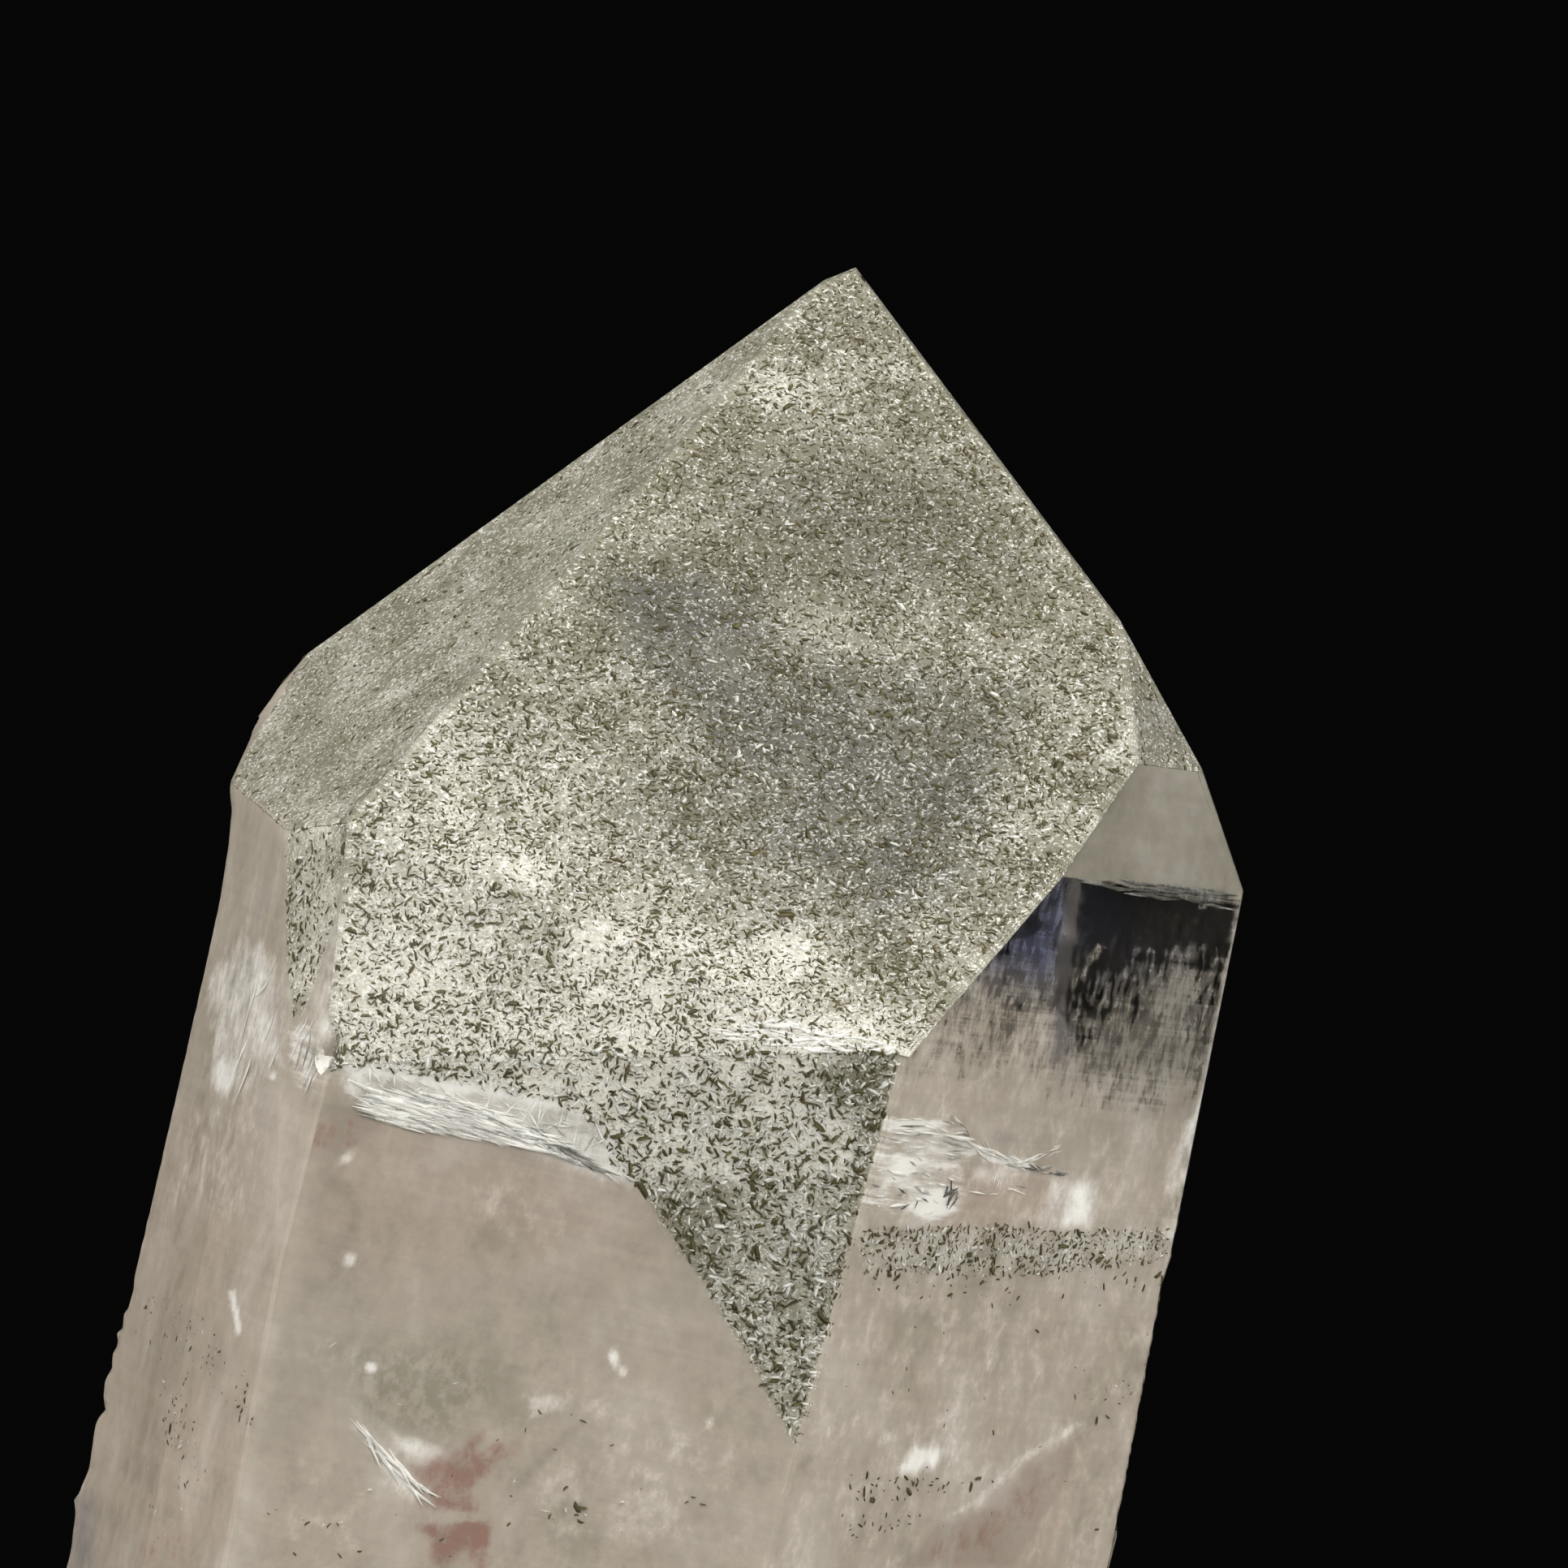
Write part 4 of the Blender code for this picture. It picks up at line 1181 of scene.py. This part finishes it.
def make_crack(finish):
    """The silvery crack: long splinters that follow it on the front, small level ones on the right."""
    rng = np.random.default_rng(5)
    thin = [chip_shape(skew, 0.075) for skew in (0.0, 0.05, -0.05, 0.09)]
    wide = [chip_shape(skew, 0.16) for skew in (0.0, 0.08, -0.08)]
    regions = (
        ("crack_front", "front_side", [(446, 1356), (507, 1344), (567, 1354), (643, 1383), (690, 1410), (663, 1413),
                                       (567, 1398), (481, 1383)], thin, 4.6, 46, -0.06, 0.10, 0.2, 0.34, 1.0),
        ("crack_front_line", "front_side", [(440, 1356), (481, 1380), (567, 1395), (663, 1411), (724, 1435), (724, 1439),
                                            (663, 1416), (567, 1401), (481, 1387)], thin, 4.0, 34, -0.05, 0.05, 0.15, 0.3,
         1.0),
        ("crack_front_tail", "front_side", [(640, 1384), (668, 1396), (745, 1438), (750, 1446), (720, 1438), (655, 1408)],
         thin, 5.0, 34, -0.28, 0.12, 0.2, 0.02, 0.5),
        ("crack_front_dark", "front_side", [(520, 1372), (600, 1386), (700, 1416), (640, 1404)], thin, 10.0, 40, -0.06, 0.05,
         0.15, 0.12, 0.4),
        ("crack_front_spread", "front_side", [(480, 1330), (640, 1356), (748, 1392), (740, 1420), (640, 1384), (500, 1346)],
         thin, 11.0, 19, -0.3, 0.8, 0.3, 0.3, 0.9),
        ("crack_front_bits", "front_side", [(424, 1306), (500, 1312), (540, 1340), (440, 1338)], wide, 11.0, 12, -0.2, 0.9, 0.3,
         0.3, 1.1),
        ("crack_front_fibres", "front_side", [(600, 1345), (735, 1382), (742, 1424), (690, 1398), (600, 1370)], thin, 11.0,
         18, 1.4, 0.2, 0.2, 0.3, 0.8),
        ("crack_edge", "front_steep", [(880, 1268), (960, 1256), (1106, 1290), (1100, 1298), (1000, 1294), (900, 1282)],
         wide, 6.0, 22, 0.12, 0.25, 0.25, 0.5, 1.2),
        ("crack_right_top", "right_front_side", [(1096, 1376), (1176, 1382), (1200, 1410), (1180, 1430), (1110, 1420),
                                                 (1088, 1400)], thin, 10.0, 30, 0.0, 0.08, 0.2, 0.1, 1.0),
        ("crack_right", "right_front_side", [(1084, 1424), (1186, 1430), (1186, 1484), (1150, 1504), (1070, 1486)], wide,
         13.0, 18, 0.0, 0.25, 0.25, 0.15, 0.9),
        ("crack_right_dark", "right_front_side", [(1166, 1464), (1182, 1466), (1180, 1488), (1166, 1484)], wide, 4.5, 18, 1.3,
         0.5, 0.3, 0.0, 0.1),
        ("crack_right_specks", "right_front_side", [(1104, 1470), (1160, 1474), (1160, 1500), (1110, 1490)], wide, 14.0, 12,
         0.3, 0.8, 0.3, 0.0, 0.12),
        ("crack_right_edge", "right_front_side", [(1172, 1380), (1180, 1380), (1224, 1414), (1216, 1418)], thin, 5.0, 12,
         -0.5, 0.1, 0.15, 0.2, 0.7),
        ("crack_right_arm", "right_front_side", [(1200, 1412), (1216, 1414), (1280, 1436), (1276, 1442), (1210, 1426)],
         thin, 5.0, 30, -0.16, 0.1, 0.2, 0.3, 1.0),
        ("crack_right_wing", "right_front_side", [(1262, 1428), (1310, 1410), (1312, 1420), (1270, 1434)], thin, 6.0, 20,
         0.3, 0.1, 0.2, 0.25, 0.9),
        ("crack_right_wing_low", "right_front_side", [(1266, 1434), (1312, 1444), (1310, 1450), (1270, 1444)], wide, 5.0, 20,
         0.02, 0.1, 0.2, 0.05, 0.3),
        ("crack_ring", "right_front_side", [(1196, 1462), (1230, 1470), (1262, 1460), (1262, 1466), (1230, 1476),
                                            (1196, 1468)], thin, 7.0, 24, 0.05, 0.15, 0.2, 0.1, 1.0),
        ("crack_spot", "right_front_side", [(1222, 1448), (1234, 1448), (1236, 1462), (1222, 1462)], wide, 6.0, 14, 1.4, 0.2,
         0.2, 0.6, 1.0),
        ("crack_left", "left_front_steep", [(358, 1262), (382, 1262), (392, 1342), (372, 1340)], thin, 8.0, 26, 1.36, 0.12,
         0.2, 0.2, 1.0),
        ("feather_a", "front_side", [(438, 1757), (450, 1762), (490, 1802), (480, 1812)], thin, 6.0, 34, -0.62, 0.14, 0.2,
         0.45, 1.0),
        ("feather_b", "front_side", [(474, 1796), (496, 1806), (534, 1842), (522, 1852)], thin, 6.0, 34, -0.5, 0.2, 0.2,
         0.45, 1.0),
        ("scratches", "front_side", [(400, 1640), (620, 1640), (900, 1760), (880, 1920), (640, 1900), (420, 1720)], thin,
         80.0, 9, 0.3, 0.7, 0.3, 0.3, 1.0),
        ("window_lines", "right_front_side", [(1345, 1082), (1530, 1102), (1528, 1124), (1450, 1112), (1345, 1091)], thin,
         7.0, 50, -0.005, 0.012, 0.02, 0.04, 0.2),
        ("oval_lines", "left_front_side", [(264, 1200), (340, 1180), (346, 1300), (300, 1356), (266, 1330)], thin, 17.0, 40,
         1.28, 0.2, 0.1, 0.4, 1.0),
    )
    for name, face, outline, shapes, spacing, size, angle, spread, tilt, low, high in regions:
        spots = grains_in(rng, outline, spacing, lambda x, y: np.full(np.shape(x), 0.85))
        count = len(spots)
        lengths = rng.gamma(5.0, size / 5.0, count) * POINT_SIZE
        angles = rng.normal(angle, spread, count)
        tones = rng.uniform(low, high, count)
        scatter(name, face, FLAKE_DEPTH, rng, spots, lengths, angles, tones, finish, shapes, tilt)


def make_stage():
    bm = bmesh.new()
    bmesh.ops.create_circle(bm, cap_ends=True, segments=96, radius=150.0 * MM)
    bmesh.ops.translate(bm, vec=(0.0, 0.0, -0.03 * MM), verts=bm.verts)
    mesh = bpy.data.meshes.new("floor")
    bm.to_mesh(mesh)
    bm.free()
    floor = bpy.data.objects.new("floor", mesh)
    finish = Finish("pale_floor")
    grain = finish.noise(finish.stretched((0.2, 0.2, 0.2)), 1.0, 3.0)
    finish.set(Base_Color=finish.mix(grain, (0.165, 0.162, 0.157, 1.0), (0.185, 0.182, 0.176, 1.0)), Roughness=0.8)
    mesh.materials.append(finish.material)
    bpy.context.scene.collection.objects.link(floor)


# Soft boxes of the studio: the way to each, where its edge starts and ends as a cosine, and its strength
BOXES = (
    (-75.0, 30.0, 0.60, 0.95, 9.6),
    (60.0, 30.0, 0.60, 0.95, 4.1),
    (20.0, 25.0, 0.70, 0.95, 6.7),
    (170.0, 50.0, 0.70, 0.95, 1.8),
)
# Ways that the flat faces mirror towards the camera, which the boxes leave dark
GAPS = (
    (-0.133, -0.284, 0.950),
    (-0.259, -0.818, 0.512),
    (-0.589, 0.735, 0.333),
    (0.567, 0.569, 0.595),
)


def make_light():
    """Soft boxes at the sides and above, dark all round near the level of the crystal."""
    world = bpy.data.worlds.new("studio")
    bpy.context.scene.world = world
    world.use_nodes = True
    tree = world.node_tree
    way = add_node(tree, "ShaderNodeTexCoord", {}, {}, "Generated")
    height = add_node(tree, "ShaderNodeSeparateXYZ", {}, {0: way}, "Z")
    settings = {"interpolation_type": "SMOOTHSTEP", "clamp": True}

    def eased(value, low, high):
        return add_node(tree, "ShaderNodeMapRange", settings, {"Value": value, "From Min": low, "From Max": high})

    def towards(direction):
        return add_node(tree, "ShaderNodeVectorMath", {"operation": "DOT_PRODUCT"}, {0: way, 1: direction}, "Value")

    strength = eased(height, 0.5, 0.8) * 0.95
    for azimuth, elevation, low, high, power in BOXES:
        side, up = math.radians(azimuth), math.radians(elevation)
        direction = (math.cos(up) * math.sin(side), -math.cos(up) * math.cos(side), math.sin(up))
        strength = strength + eased(towards(direction), low, high) * power
    strength = strength * eased(height, 0.16, 0.34)
    for direction in GAPS:
        strength = strength * (1.0 - eased(towards(direction), 0.84, 0.955) * 0.93)
    back = tree.nodes["Background"]
    back.inputs["Color"].default_value = (1.0, 0.985, 0.945, 1.0)
    tree.links.new((strength + 0.002).output, back.inputs["Strength"])


def make_camera():
    data = bpy.data.cameras.new("camera")
    data.sensor_width = SENSOR
    data.lens = SENSOR * FOCUS / PICTURE
    data.clip_start = 0.01
    data.clip_end = 10.0
    camera = bpy.data.objects.new("camera", data)
    turn = Matrix((CAMERA_X, CAMERA_Y, BACK)).transposed().to_4x4()
    camera.matrix_world = Matrix.Translation(Vector(EYE)) @ turn
    bpy.context.scene.collection.objects.link(camera)
    bpy.context.scene.camera = camera


def main():
    bpy.context.scene.view_settings.view_transform = "Standard"
    make_skin(quartz_finish())
    dust, haze = dust_finish(), haze_finish()
    for kind, depth, all_strokes, finish in (
        ("dust", DUST_DEPTH, DUST_STROKES, dust),
        ("haze", HAZE_DEPTH, HAZE_STROKES, haze),
    ):
        for face, strokes in all_strokes.items():
            step = (0.09 if face in FINE else 0.12 if face in FRONT else 0.6) * MM * 1.0
            make_film(f"{kind}_{face}", face, depth, strokes, finish, step)
    make_crack(crack_finish())
    make_flakes(flake_finish())
    make_stage()
    make_light()
    make_camera()


main()
